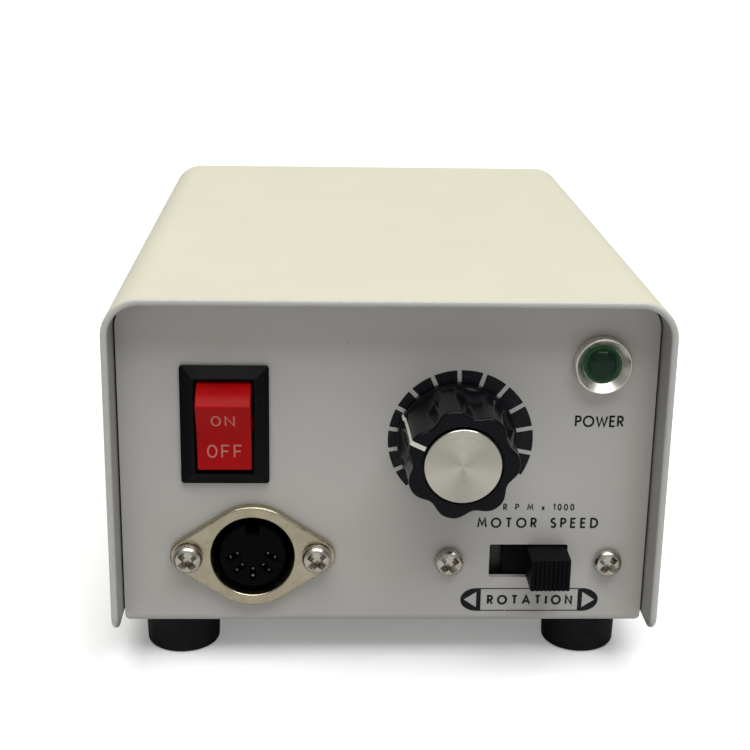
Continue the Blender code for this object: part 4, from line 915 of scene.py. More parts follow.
@dataclass(frozen=True)
class SolderMask(Finish):
    """A circuit board: lacquer over copper tracks, with tinned pads in rows."""

    pad: Colour = (0.55, 0.54, 0.50)
    pitch: float = 2.54

    def make(self) -> bpy.types.Material:
        """Makes the material.

        Returns:
            The material.
        """
        recipe = Recipe(self.name, IOR=1.5)
        tracks = recipe.node("TexVoronoi", {"Vector": recipe.place, "Scale": 0.22}, distance="MANHATTAN")
        lane = recipe.maths("PINGPONG", recipe.product(tracks.outputs["Distance"], 3.2), 0.5)
        copper = recipe.spread(lane, 0.2, 0.26)
        lacquer = recipe.mix(copper, self.colour, self.tint(1.8))
        grid = {"Vector": recipe.place, "Scale": 1 / self.pitch, "Randomness": 0.0}
        cells = recipe.node("TexVoronoi", grid)
        pads = recipe.spread(cells.outputs["Distance"], 0.26, 0.22)
        group = recipe.product(pads, recipe.maths("GREATER_THAN", recipe.noise(11, 1, seed=3.0), 0.54))
        recipe.set("Metallic", group)
        relief = recipe.bump(copper, 0.035)
        return recipe.finished(
            recipe.mix(group, lacquer, self.pad),
            recipe.patches(2, 3, 0.28, 0.42),
            recipe.bump(group, 0.15, relief),
        )


@dataclass(frozen=True)
class WoundTape(Finish):
    """Polyester tape wound round a coil, with overlaps and a little varnish."""

    def make(self) -> bpy.types.Material:
        """Makes the material.

        Returns:
            The material.
        """
        recipe = Recipe(self.name, IOR=1.55, Coat_Weight=0.4, Coat_Roughness=0.15)
        turns = recipe.maths("PINGPONG", recipe.total(recipe.axis(2), recipe.noise(6, 1)), 2.1)
        lap = recipe.spread(turns, 1.85, 2.0)
        varnish = recipe.spread(recipe.noise(3, 4, seed=2.2), 0.35, 0.7)
        darker = recipe.maths("MAXIMUM", lap, recipe.product(varnish, 0.5))
        return recipe.finished(
            recipe.mix(darker, self.colour, self.tint(0.55)),
            recipe.spread(varnish, 0, 1, 0.25, 0.45),
            recipe.bump(lap, 0.08, recipe.bump(recipe.noise(1.2, 2), 0.03)),
        )


@dataclass(frozen=True)
class Laminations(Finish):
    """A stack of varnished steel sheets, each half a millimetre thick along X, with rusty edges."""

    sheet: float = 0.5
    rust: Colour = (0.14, 0.06, 0.025)

    def make(self) -> bpy.types.Material:
        """Makes the material.

        Returns:
            The material.
        """
        recipe = Recipe(self.name, Metallic=0.85)
        seam = recipe.spread(recipe.maths("PINGPONG", recipe.axis(0), self.sheet / 2), 0.05, 0.0)
        rust = recipe.spread(recipe.noise(2.5, 5, seed=6.1), 0.52, 0.72, 0, 0.8)
        steel = recipe.mix(seam, self.colour, self.tint(0.3))
        return recipe.finished(
            recipe.mix(rust, steel, self.rust),
            recipe.spread(rust, 0, 0.8, 0.4, 0.75),
            recipe.bump(seam, -0.06, recipe.bump(recipe.noise(0.6, 3), 0.01)),
        )


@dataclass(frozen=True)
class Sleeve(Finish):
    """A capacitor's shrunk sleeve: one pale stripe down the side and a bare top with a cross score."""

    stripe: Colour = (0.55, 0.57, 0.60)
    bare: Colour = (0.60, 0.60, 0.58)
    bare_radius: float = 6.6
    centre: Point = (0.0, 0.0)
    top: float = 0.0

    def make(self) -> bpy.types.Material:
        """Makes the material; the stripe and the top are found from the can's own place.

        Returns:
            The material.
        """
        recipe = Recipe(self.name, IOR=1.5)
        x = recipe.maths("SUBTRACT", recipe.axis(0), self.centre[0])
        y = recipe.maths("SUBTRACT", recipe.axis(1), self.centre[1])
        askew = recipe.product(recipe.maths("ABSOLUTE", y), 2.2)
        side = recipe.maths("LESS_THAN", recipe.total(x, askew), -2.0)
        sleeve = recipe.mix(recipe.patches(4, 3, 0, 0.4), self.colour, self.tint(1.6))
        striped = recipe.mix(side, sleeve, self.stripe)
        square = recipe.total(recipe.product(x, x), recipe.product(y, y))
        within = recipe.maths("LESS_THAN", recipe.maths("SQRT", square), self.bare_radius)
        bare = recipe.product(recipe.maths("GREATER_THAN", recipe.axis(2), self.top - 0.2), within)
        score = recipe.maths("MINIMUM", recipe.maths("ABSOLUTE", x), recipe.maths("ABSOLUTE", y))
        recipe.set("Metallic", bare)
        grooved = recipe.product(recipe.spread(score, 0.25, 0.05), bare)
        return recipe.finished(
            recipe.mix(bare, striped, self.bare),
            recipe.patches(2, 3, 0.25, 0.4),
            recipe.bump(grooved, -0.2, recipe.bump(recipe.noise(3, 2), 0.05)),
        )


@dataclass(frozen=True)
class Ink(Finish):
    """Screen-printed ink: thin in places, with a slightly raised, uneven skin."""

    under: Colour = (0.3, 0.3, 0.3)
    thin: float = 0.25

    def make(self) -> bpy.types.Material:
        """Makes the material; where the ink is thin, what lies under it shows through.

        Returns:
            The material.
        """
        recipe = Recipe(self.name, IOR=1.5, Specular_IOR_Level=0.2)
        weak = recipe.spread(recipe.noise(0.7, 4, seed=3.3), 0.55, 0.8, 0, self.thin)
        return recipe.finished(
            recipe.mix(weak, self.colour, self.under),
            recipe.patches(0.9, 3, 0.38, 0.55),
            recipe.bump(recipe.noise(0.3, 2), 0.006),
        )


PANEL_COLOUR = (0.53, 0.517, 0.48)
DEEP_BLACK = (0.004, 0.004, 0.005)
COVER_PAINT = CoverPaint("cover_enamel", "cover_paint", (0.845, 0.818, 0.638))
PANEL_PAINT = Paint("panel_enamel", "panel_paint", PANEL_COLOUR, roughness=0.42)
FOOT_RUBBER = Rubber("foot_rubber_black", "foot_rubber", (0.009, 0.009, 0.010))
NICKEL = Plated("nickel_screws", "nickel_plate", (0.58, 0.55, 0.49), 0.24, stained=0.6)
YELLOW_ZINC = Plated("yellow_zinc_plate", "yellow_zinc", (0.49, 0.44, 0.32), 0.27, (0.34, 0.29, 0.17), 0.4)
STEEL = Plated("bright_steel_parts", "bright_steel", (0.50, 0.49, 0.47), 0.36)
SLIDE_FRAME = SlideFrame("slide_frame_steel", "bright_steel", (0.24, 0.235, 0.225))
CHROME = Plated("lamp_chrome_bezel", "lamp_chrome", (0.90, 0.87, 0.79), 0.32, stained=0.1, relief=0.0004)
ALUMINIUM = Plated("drawn_aluminium", "spun_aluminium", (0.72, 0.71, 0.69), 0.34, lines=(1, 1, 0.05))
SPUN_CAP = SpunDisc("spun_cap", "spun_aluminium", (0.63, 0.60, 0.52))
TIN = Plated("contact_tin", "nickel_plate", (0.17, 0.165, 0.15), 0.30)
BRASS = Plated("contact_brass_strip", "contact_brass", (0.74, 0.58, 0.28), 0.28)
SATIN_BLACK = Moulding("black_moulding_satin", "black_moulding", DEEP_BLACK, 0.34, level=0.08, scuff=0.3)
DULL_BLACK = Moulding("black_moulding_dull", "black_moulding", DEEP_BLACK, 0.46, level=0.06, scuff=0.2)
INSERT_BLACK = Moulding("black_moulding_insert", "black_moulding", (0.002,) * 3, 0.5, level=0.04, scuff=0.1)
KNOB_BLACK = Moulding("knob_black_gloss", "knob_black", (0.003, 0.003, 0.005), 0.16, 0.002, 0.25, 0.2, 1.35)
ROCKER_RED = Moulding("rocker_red_gloss", "rocker_red", (0.43, 0.003, 0.004), 0.34, 0.003, 0.1, 0.1)
LENS_GREEN = Lens("lens_green_dome", "lens_green", (0.003, 0.024, 0.012))
FUSE_GLASS = Glass("fuse_tube", "fuse_glass", (0.93, 0.96, 0.94))
BOARD = SolderMask("board_lacquer", "board_green", (0.015, 0.12, 0.045))
TAPE = WoundTape("coil_tape_yellow", "coil_tape", (0.72, 0.46, 0.07))
CORE = Laminations("core_sheets", "bright_steel", (0.30, 0.29, 0.28))
BLACK_INK = Ink("ink_black", "panel_paint", (0.006, 0.005, 0.008), PANEL_COLOUR, 0.05)
POINTER_INK = Ink("ink_pointer", "knob_black", (0.74, 0.74, 0.66), (0.3, 0.3, 0.28), 0.3)
PINK_INK = Ink("ink_rocker", "rocker_red", (0.62, 0.22, 0.19), (0.45, 0.02, 0.02), 0.4)


class Alphabet:
    """A plain geometric alphabet of strokes in a cell one unit high; its small o is a narrow O."""

    @staticmethod
    def bow(centre: Point, reach: Point, start: float, end: float, steps: int = 14) -> list[Point]:
        """Draws part of an ellipse.

        Args:
            centre: Its centre.
            reach: Half of its width and half of its height.
            start: Angle of the first point, in degrees.
            end: Angle of the last point.
            steps: Number of chords.

        Returns:
            The points, one more than the chords.
        """
        angles = [math.radians(start + (end - start) * i / steps) for i in range(steps + 1)]
        return [(centre[0] + reach[0] * math.cos(a), centre[1] + reach[1] * math.sin(a)) for a in angles]

    @classmethod
    def oval(cls, width: float) -> list[Point]:
        """Draws a closed oval, its first point again at its end."""
        return cls.bow((width / 2, 0.5), (width / 2, 0.5), 90, 450, 32)

    @classmethod
    def glyph(cls, sign: str) -> tuple[float, list[list[Point]]]:
        """Looks up a sign.

        Args:
            sign: One of the signs that the panel uses.

        Returns:
            Its width and its strokes, in units of the letters' height.
        """
        bowl = [(0, 1), (0.2, 1), *cls.bow((0.22, 0.74), (0.24, 0.26), 90, -90), (0.2, 0.48), (0, 0.48)]
        belly = [(0, 0), (0, 1), (0.2, 1), *cls.bow((0.22, 0.5), (0.46, 0.5), 90, -90, 20), (0.2, 0), (0, 0)]
        upper = cls.bow((0.23, 0.755), (0.2, 0.245), 35, 270, 12)
        lower = cls.bow((0.23, 0.255), (0.23, 0.255), 90, -150, 12)
        signs = {
            "A": (0.76, [[(0, 0), (0.38, 1), (0.76, 0)], [(0.13, 0.32), (0.63, 0.32)]]),
            "D": (0.68, [belly]),
            "E": (0.46, [[(0.46, 1), (0, 1), (0, 0), (0.46, 0)], [(0, 0.52), (0.40, 0.52)]]),
            "F": (0.50, [[(0.50, 1), (0, 1), (0, 0)], [(0, 0.50), (0.44, 0.50)]]),
            "I": (0.0, [[(0, 0), (0, 1)]]),
            "M": (0.84, [[(0, 0), (0.12, 1), (0.42, 0.25), (0.72, 1), (0.84, 0)]]),
            "N": (0.62, [[(0, 0), (0, 1), (0.62, 0), (0.62, 1)]]),
            "O": (0.94, [cls.oval(0.94)]),
            "o": (0.62, [cls.oval(0.62)]),
            "P": (0.46, [[(0, 0), *bowl]]),
            "R": (0.48, [[(0, 0), *bowl], [(0.2, 0.48), (0.48, 0)]]),
            "S": (0.46, [[*upper, *lower]]),
            "T": (0.56, [[(0, 1), (0.56, 1)], [(0.28, 1), (0.28, 0)]]),
            "W": (1.04, [[(0, 1), (0.27, 0), (0.52, 0.85), (0.77, 0), (1.04, 1)]]),
            "x": (0.40, [[(0, 0), (0.40, 0.62)], [(0, 0.62), (0.40, 0)]]),
            "0": (0.50, [cls.oval(0.50)]),
            "1": (0.20, [[(0, 0.8), (0.20, 1), (0.20, 0)]]),
            " ": (0.42, []),
        }
        return signs[sign]


@dataclass
class Print:
    """Ink on a face: strokes and patches a few hundredths of a millimetre thick."""

    stroke: float = 0.24
    skin: float = 0.03
    clearance: float = 0.004
    overlap: float = 0.001
    rise: Callable[[float, float], float] = field(default=lambda x, y: 0.0)
    forms: list[Form] = field(default_factory=list)

    def ribbon(self, points: Sequence[Point]) -> None:
        """Lays a stroke along a path, mitred at its bends.

        Args:
            points: The path; one that ends where it starts is closed.
        """
        closed = math.dist(points[0], points[-1]) < 1e-6
        path = list(points[:-1] if closed else points)
        count = len(path)
        rings = []
        top = self.skin + self.overlap * len(self.forms)
        for i, (x, y) in enumerate(path):
            before = path[i - 1] if i or closed else (x, y)
            after = path[(i + 1) % count] if i < count - 1 or closed else (x, y)
            ways = [Vector((x - before[0], y - before[1])), Vector((after[0] - x, after[1] - y))]
            ways = [way.normalized() for way in ways if way.length > 1e-6]
            along = sum(ways, Vector((0, 0))).normalized()
            spread = min(1 / max(abs(along.dot(ways[-1])), 0.35), 2.2)
            side = Vector((-along.y, along.x)) * self.stroke / 2 * spread
            edges = ((x + side.x, y + side.y), (x - side.x, y - side.y))
            low = [(u, v, self.rise(u, v) + self.clearance) for u, v in edges]
            high = [(u, v, self.rise(u, v) + top) for u, v in edges]
            rings.append([low[0], low[1], high[1], high[0]])
        self.forms.append(Form.skin(rings, closed))

    def word(
        self, text: str, left: float, right: float, base: float, height: float, wide: float = 1.0
    ) -> None:
        """Writes a word whose ink fills a box.

        Args:
            text: The word.
            left: Left edge of its ink.
            right: Right edge of its ink.
            base: Lower edge of its ink.
            height: Height of its ink.
            wide: How much wider than usual its letters are.
        """
        cell = height - self.stroke
        glyphs = [Alphabet.glyph(sign) for sign in text]
        room = right - left - self.stroke - cell * wide * sum(width for width, _ in glyphs)
        gap = room / max(1, len(glyphs) - 1)
        x = left + self.stroke / 2
        for width, strokes in glyphs:
            for stroke in strokes:
                self.ribbon([(x + u * cell * wide, base + self.stroke / 2 + v * cell) for u, v in stroke])
            x += width * cell * wide + gap

    def patch(self, outline: Sequence[Point], *holes: Sequence[Point]) -> None:
        """Prints a filled shape.

        Args:
            outline: The shape.
            holes: Shapes within it that stay bare.
        """
        form = Form.prism(outline, self.clearance, self.skin)
        if holes:
            form.cut(*[Form.prism(hole, -1, 1) for hole in holes])
        self.forms.append(form)

    def piece(self, name: str, seat: Matrix, finish: Finish, body: Body) -> bpy.types.Object:
        """Turns all that was printed into one piece."""
        return Form().with_(self.forms).piece(name, seat, finish, body)


@dataclass
class Enclosure:
    """The folded cover and the folded chassis."""

    width: float = 94.0
    depth: float = 130.0
    underside: float = UNDERSIDE
    top: float = 68.2
    sheet: float = 1.2
    cover_bend: float = 6.5
    cover_foot: float = 9.0
    corner: float = 3.0
    chassis_bend: float = 1.5
    lip_height: float = 10.0
    lip_inset: float = 7.0
    screw_hole: float = 1.65
    switch_hole: Point = (13.3, 19.3)
    slot: Point = (13.7, 6.25)
    slot_corner: float = 0.35
    slide_screw_x: float = 13.9
    socket_screw_x: float = 11.1
    front_holes: tuple[tuple[str, float, int], ...] = (
        ("socket_flange", 8.3, 64),
        ("knob_cap", 4.8, 48),
        ("lamp_bezel", 4.2, 48),
    )
    rear_holes: tuple[tuple[str, float], ...] = (
        ("cord_bush", 6.2),
        ("fuse_holder", 6.5),
        ("pedal_jack_nut", 4.8),
    )
    lug: Point = (3.0, 1.5)
    lug_tip: float = 3.2
    lug_window: Point = (6.0, 8.3)
    vent: Point = (2.4, 30.0)
    vents: int = 4
    vent_pitch: float = 5.0

    def corner_cutters(self) -> list[Form]:
        """Draws what rounds the cover's lower corners.

        Returns:
            The cutters, on a seat that looks right.
        """
        cutters = []
        below, above = self.cover_foot - 2, self.cover_foot + self.corner
        for side in (-1, 1):
            edge = side * self.depth / 2
            inward, past = edge - side * self.corner, edge + side * 2
            start = -math.pi / 2
            curve = arc((inward, above), self.corner, start, start + side * math.pi / 2, 12)
            outline = [(inward, below), *curve, (past, above), (past, below)]
            cutters.append(Form.prism(outline, -self.width, self.width))
        return cutters

    def side_holes(self) -> list[Form]:
        """Draws the cover screws' holes.

        Returns:
            The cutters, on a seat that looks right.
        """
        cutters = []
        for end in ("front", "rear"):
            spot = middle(f"cover_screw_{end}_right")
            for low, high in ((-60, -40), (40, 60)):
                cutters.append(Form.prism(circle(self.screw_hole, 24), low, high).moved(spot.y, spot.z))
        return cutters

    def add_cover(self) -> None:
        """Adds the cover with round bends and paint-rounded edges."""
        outer = arch(self.width / 2, self.cover_foot, self.top, self.cover_bend, 20)
        inside = self.top - self.sheet
        narrow, bend = self.width / 2 - self.sheet, self.cover_bend - self.sheet
        inner = arch(narrow, self.cover_foot, inside, bend, 20)
        form = Form.prism(outer + inner[::-1], -self.depth / 2, self.depth / 2)
        form.carried(Facing.FRONT.seat())
        to_side = Facing.RIGHT.seat()
        form.cut(*[cutter.carried(to_side) for cutter in self.corner_cutters()])
        form.eased(0.54, 5, 50)
        form.cut(*[cutter.carried(to_side) for cutter in self.side_holes()])
        form.piece("cover_shell", Matrix.Identity(4), COVER_PAINT, Body.CASE, "cover")

    def through(self, outline: Sequence[Point], x: float, height: float) -> Form:
        """Returns a cutter through a panel, at a place counted from the floor."""
        return Form.prism(outline, -self.sheet - 2, 2).moved(x, height)

    def drilled(self, x: float, height: float) -> Form:
        """Returns a cutter for a screw's hole through a panel."""
        return self.through(circle(self.screw_hole, 24), x, height)

    def slide_cutters(self, name: str, way: int) -> list[Form]:
        """Draws a slide switch's slot and the holes of its two screws.

        Args:
            name: The switch.
            way: 1 on the front panel, -1 on the rear panel.

        Returns:
            The cutters, on the panel's seat.
        """
        spot = middle(f"{name}_frame")
        slot = self.through(rounded(*self.slot, self.slot_corner), way * spot.x, spot.z)
        return [slot, *[self.drilled(way * spot.x + side * self.slide_screw_x, spot.z) for side in (-1, 1)]]

    def front_cutters(self) -> list[Form]:
        """Draws the openings of the front panel.

        Returns:
            The cutters, on a seat that looks forward.
        """
        switch, socket = middle("switch_housing"), middle("socket_flange")
        cutters = [self.through(rectangle(*self.switch_hole), switch.x, switch.z)]
        for node, radius, count in self.front_holes:
            spot = middle(node)
            cutters.append(self.through(circle(radius, count), spot.x, spot.z))
        cutters += [self.drilled(socket.x + side * self.socket_screw_x, socket.z) for side in (-1, 1)]
        return cutters + self.slide_cutters("direction", 1)

    def rear_cutters(self) -> list[Form]:
        """Draws the openings of the rear panel.

        Returns:
            The cutters, on a seat that looks back.
        """
        cutters = []
        for node, radius in self.rear_holes:
            spot = middle(node)
            cutters.append(self.through(circle(radius, 48), -spot.x, spot.z))
        return cutters + self.slide_cutters("selector", -1)

    def lug_places(self) -> list[Point]:
        """Returns the places of the lugs that carry the board."""
        low, high = (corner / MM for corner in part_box("circuit_board"))
        return [(x, y) for x in (low.x + 4, high.x - 4) for y in (low.y + 5, high.y - 5)]

    def lug_at(self, x: float, y: float, board: float) -> Form:
        """Draws a lug that rises from the base and carries the board on its shoulders.

        Args:
            x: Its place along X.
            y: Its place along Y.
            board: Height of the board's underside.

        Returns:
            The lug, on the seat of the case.
        """
        root, shoulder, tip = self.underside + self.sheet / 2, board - PLAY, board + self.lug_tip
        half = [(self.lug[0], root), (self.lug[0], shoulder), (self.lug[1], shoulder), (self.lug[1], tip)]
        outline = half + [(-u, v) for u, v in half[::-1]]
        lug = Form.prism([(x + u, v) for u, v in outline], -y - self.sheet / 2, -y + self.sheet / 2)
        return lug.carried(Facing.FRONT.seat())

    def base_cutters(self) -> list[Form]:
        """Draws the base's windows behind the lugs, its screw holes and its vents.

        Returns:
            The cutters, on a seat that looks down.
        """
        cutters = []
        board = middle("circuit_board")
        away = (self.lug_window[1] + self.sheet) / 2
        for x, y in self.lug_places():
            way = 1 if y < board.y else -1
            cutters.append(self.through(rounded(*self.lug_window, 0.4), x, -(y + way * away)))
        feet = [f"foot_{label}" for label in Feet.labels]
        for node in (*feet, "transformer_screw_front", "transformer_screw_rear"):
            spot = middle(node)
            cutters.append(self.drilled(spot.x, -spot.y))
        for i in range(self.vents):
            x = board.x + (i - (self.vents - 1) / 2) * self.vent_pitch
            cutters.append(self.through(rounded(*self.vent, self.vent[0] / 2 - 0.05, 8), x, -board.y))
        return cutters

    def add_chassis(self) -> None:
        """Adds the chassis: both panels and the base in one bent sheet, its lips and lugs."""
        crown = self.top - self.sheet - PLAY
        outer = arch(PANEL, crown + 2, self.underside, self.chassis_bend, 8)
        inside = self.underside + self.sheet
        inner = arch(PANEL - self.sheet, crown + 2, inside, self.chassis_bend - self.sheet, 8)
        half = self.width / 2 - self.sheet - PLAY
        to_side = Facing.RIGHT.seat()
        form = Form.prism(outer + inner[::-1], -half - 2, half + 2).carried(to_side)
        length = 2 * (PANEL - self.lip_inset)
        lip_top = self.underside + self.sheet + self.lip_height
        lips = []
        for side in (-1, 1):
            flat = rectangle(length, lip_top - self.underside)
            lip = Form.prism(flat, side * (half + 2), side * (half - self.sheet))
            lips.append(lip.moved(0, (lip_top + self.underside) / 2).carried(to_side))
        form.joined(*lips)
        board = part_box("circuit_board")[0].z / MM
        form.joined(*[self.lug_at(x, y, board) for x, y in self.lug_places()])
        centre = (self.underside + self.top) / 2
        upper = arch(half, centre, crown, self.cover_bend - self.sheet - PLAY, 14)
        lower = arch(half, centre, self.underside, self.chassis_bend, 8)
        trim = Form.prism(upper[:-1] + lower[::-1][:-1], -self.depth, self.depth)
        form.combined(Meeting.TRIM, [trim.carried(Facing.FRONT.seat())])
        groups = (
            (self.front_cutters(), Matrix.Translation((0, -PANEL, 0)) @ Facing.FRONT.seat()),
            (self.rear_cutters(), Matrix.Translation((0, PANEL, 0)) @ Facing.REAR.seat()),
            (self.base_cutters(), Matrix.Translation((0, 0, self.underside)) @ Facing.DOWN.seat()),
            (self.side_holes(), to_side),
        )
        for cutters, seat in groups:
            form.cut(*[cutter.carried(seat) for cutter in cutters])
        form.piece("chassis_sheet", Matrix.Identity(4), PANEL_PAINT, Body.CASE, "chassis")

    def build(self) -> None:
        """Adds both sheets."""
        self.add_cover()
        self.add_chassis()


@dataclass
class PanScrew:
    """A pan-head screw with a cross recess and a threaded shank."""

    radius: float = 2.55
    height: float = 1.8
    shank: float = 1.35
    length: float = 6.0
    pitch: float = 0.5
    threads: int = 9
    side_share: float = 0.42
    crown_fall: float = 0.42
    crown_share: float = 0.5
    arm_share: float = 0.68
    arm_half: float = 0.25
    recess_share: float = 0.85

    def head(self) -> list[Point]:
        """Draws the head from its underside to its flat crown.

        Returns:
            The (radius, height) pairs.
        """
        straight = self.height * self.side_share
        points = [(self.radius - 0.08, 0.0), (self.radius, 0.08), (self.radius, straight)]
        for i in range(1, 9):
            share = i / 9
            inward = self.radius * (1 - self.crown_fall * share**1.6)
            rise = (1 - self.side_share) * math.sin(share * math.pi / 2) ** 1.1
            points.append((inward, self.height * (self.side_share + rise)))
        return [*points, (self.radius * self.crown_share, self.height)]

    def cross(self) -> Form:
        """Draws the cross, which narrows towards its floor.

        Returns:
            The cutter.
        """
        arm, wide = self.radius * self.arm_share, self.radius * self.arm_half
        plus = [(arm, -wide), (arm, wide), (wide, wide), (wide, arm), (-wide, arm), (-wide, wide)]
        plus += [(-x, -y) for x, y in plus]
        floor = self.height * (1 - self.recess_share)
        rings = [lift([(x * 1.12, y * 1.12) for x, y in plus], self.height + 0.3)]
        rings.append(lift([(x * 0.5, y * 0.5) for x, y in plus], floor))
        return Form.skin(rings)

    def add(self, node: str, facing: Facing, turn: float) -> None:
        """Adds the screw in a CAD screw's place.

        Args:
            node: The CAD screw.
            facing: The way its head looks.
            turn: Angle of its cross, in degrees.
        """
        low, high = (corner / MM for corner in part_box(node))
        out = Vector(facing.value[2])
        spot = (low + high) / 2
        head = max(low.dot(out), high.dot(out)) - self.height
        foot = spot + out * (head - spot.dot(out))
        profile = [(0.4, -self.length), (self.shank - 0.2, -self.length + 0.8)]
        for i in range(self.threads):
            z = -self.length + 1.0 + i * self.pitch
            profile += [(self.shank - 0.22, z), (self.shank, z + self.pitch / 2)]
        form = Form.turned([*profile, (self.shank, 0.0), *self.head()], 48)
        form.cut(self.cross().rolled(math.radians(turn)))
        form.piece(f"{node}_cross_head", facing.seat(*foot), NICKEL, Body.CASE, node)


@dataclass
class Feet:
    """Four turned rubber feet with wells, and their screws."""

    radius: float = 6.8
    taper: float = 0.3
    height: float = 7.4
    edge: float = 0.8
    well: float = 3.3
    well_depth: float = 4.4
    shank: float = 1.65
    labels: tuple[str, ...] = ("front_left", "front_right", "rear_left", "rear_right")
    screw_turns: tuple[float, ...] = (20, 65, 40, 8)

    def add_foot(self, label: str) -> None:
        """Adds one foot, moulded with a fillet at the floor and a fine line at the top.

        Args:
            label: Which foot.
        """
        spot = middle(f"foot_{label}")
        rim = self.radius - self.taper
        fillet = arc((rim - self.edge, self.height - self.edge), self.edge, 0, math.pi / 2, 6)
        floor = self.height - self.well_depth
        profile = [(self.shank, 0), (self.radius - 0.15, 0), (self.radius, 0.15), (self.radius, 0.7)]
        profile += [(self.radius - 0.12, 0.82), (self.radius - 0.13, 1.0), *fillet]
        profile += [(self.well + 0.25, self.height), (self.well, self.height - 0.25)]
        profile += [(self.well, floor), (self.shank, floor)]
        seat = Facing.DOWN.seat(spot.x, spot.y, self.height)
        form = Form.turned(profile, 96, closed=True)
        form.piece(f"foot_{label}_moulded", seat, FOOT_RUBBER, Body.CASE, f"foot_{label}")

    def build(self) -> None:
        """Adds the feet and their screws."""
        for label, turn in zip(self.labels, self.screw_turns):
            self.add_foot(label)
            PanScrew().add(f"foot_screw_{label}", Facing.DOWN, turn)


@dataclass
class RockerSwitch:
    """The power switch: mitred frame with its housing, red rocker and the words on it."""

    width: float = 15.0
    length: float = 21.0
    rise: float = 2.0
    lip: float = 0.4
    slope: float = 1.9
    body_inset: float = 2.3
    body_depth: float = 15.0
    well: Point = (9.75, 16.6)
    well_floor: float = -9.5
    blade_slot: Point = (6.9, 1.4)
    blade_y: float = 4.5
    trunnion: float = 1.0
    trunnion_reach: float = 0.9
    bearing: float = 1.3
    rocker_width: float = 9.15
    radius: float = 8.0
    pivot_depth: float = 0.65
    valley: float = 3.68
    crease: float = 6.46
    valley_round: float = 1.2
    throw: float = math.radians(17)

    @property
    def seat(self) -> Matrix:
        """The switch's seat on the front panel."""
        return front_seat("switch_housing")

    @property
    def pivot(self) -> Matrix:
        """The rocker's seat at its pivot, tilted to the photographed end of its throw."""
        down = Matrix.Translation((0, 0, -self.pivot_depth * MM))
        return self.seat @ down @ Matrix.Rotation(self.throw, 4, "X")

    def face(self, y: float) -> float:
        """Measures the rocker's face.

        Args:
            y: The place along it, from its middle.

        Returns:
            The face's height above the pivot.
        """
        end = math.sqrt(self.radius**2 - self.crease**2)
        swing = math.hypot(self.crease, self.valley_round) - self.valley_round
        climb = math.hypot(y, self.valley_round) - self.valley_round
        return self.valley + (end - self.valley) * climb / swing

    def add_housing(self) -> None:
        """Adds the frame with its housing, the rocker's bearings and the blades' slots."""
        body, sharp = (self.width - self.body_inset, self.length - self.body_inset), 0.25
        crest = (self.width - 2 * self.slope, self.length - 2 * self.slope)
        rings = [
            lift(rounded(*body, sharp), -self.body_depth),
            lift(rounded(*body, sharp), PLAY),
            lift(rounded(self.width, self.length, 0.5), PLAY),
            lift(rounded(self.width, self.length, 0.5), PLAY + self.lip),
            lift(rounded(*crest, sharp), self.rise),
            lift(rounded(self.well[0] + 0.3, self.well[1] + 0.3, 0.3), self.rise),
            lift(rounded(*self.well, sharp), self.rise - 0.3),
            lift(rounded(*self.well, sharp), self.well_floor),
        ]
        form = Form.skin(rings).eased(0.10, 2, 40)
        bearing = Form.prism(circle(self.bearing, 24), -5.8, 5.8).rolled(math.pi / 2, "Y")
        slots = [Form.block(*self.blade_slot, -17, -12.5).moved(0, side * self.blade_y) for side in (-1, 1)]
        form.cut(bearing.moved(0, 0, -self.pivot_depth), *slots)
        form.piece("switch_frame", self.seat, SATIN_BLACK, Body.CASE, "switch_housing")

    def add_rocker(self) -> None:
        """Adds the rocker with its trunnions."""
        steps = 28
        along = [(-self.crease + 2 * self.crease * i / steps) for i in range(steps + 1)]
        top = [(y, self.face(y)) for y in along]
        corner = math.atan2(top[-1][1], top[-1][0])
        end = arc((0, 0), self.radius, corner, math.radians(-19), 16)
        outline = top[1:-1] + end + [(-x, y) for x, y in end[::-1]]
        form = Form.prism(outline, -self.rocker_width / 2, self.rocker_width / 2)
        form.eased(0.22, 3, 40).rolled(math.pi / 2, "X").rolled(math.pi / 2)
        reach = self.rocker_width / 2 + self.trunnion_reach
        form.joined(Form.prism(circle(self.trunnion, 24), -reach, reach).rolled(math.pi / 2, "Y"))
        form.piece("rocker_cap", self.pivot, ROCKER_RED, Body.ROCKER, "power_rocker")

    def build(self) -> None:
        """Adds the switch with its words."""
        self.add_housing()
        self.add_rocker()
        words = Print(0.28, rise=lambda x, y: self.face(y))
        words.word("oN", -2.05, 1.95, 2.15, 2.4, 1.08)
        words.word("oFF", -2.9, 3.05, -4.2, 2.45, 1.1)
        words.piece("rocker_words", self.pivot, PINK_INK, Body.ROCKER)


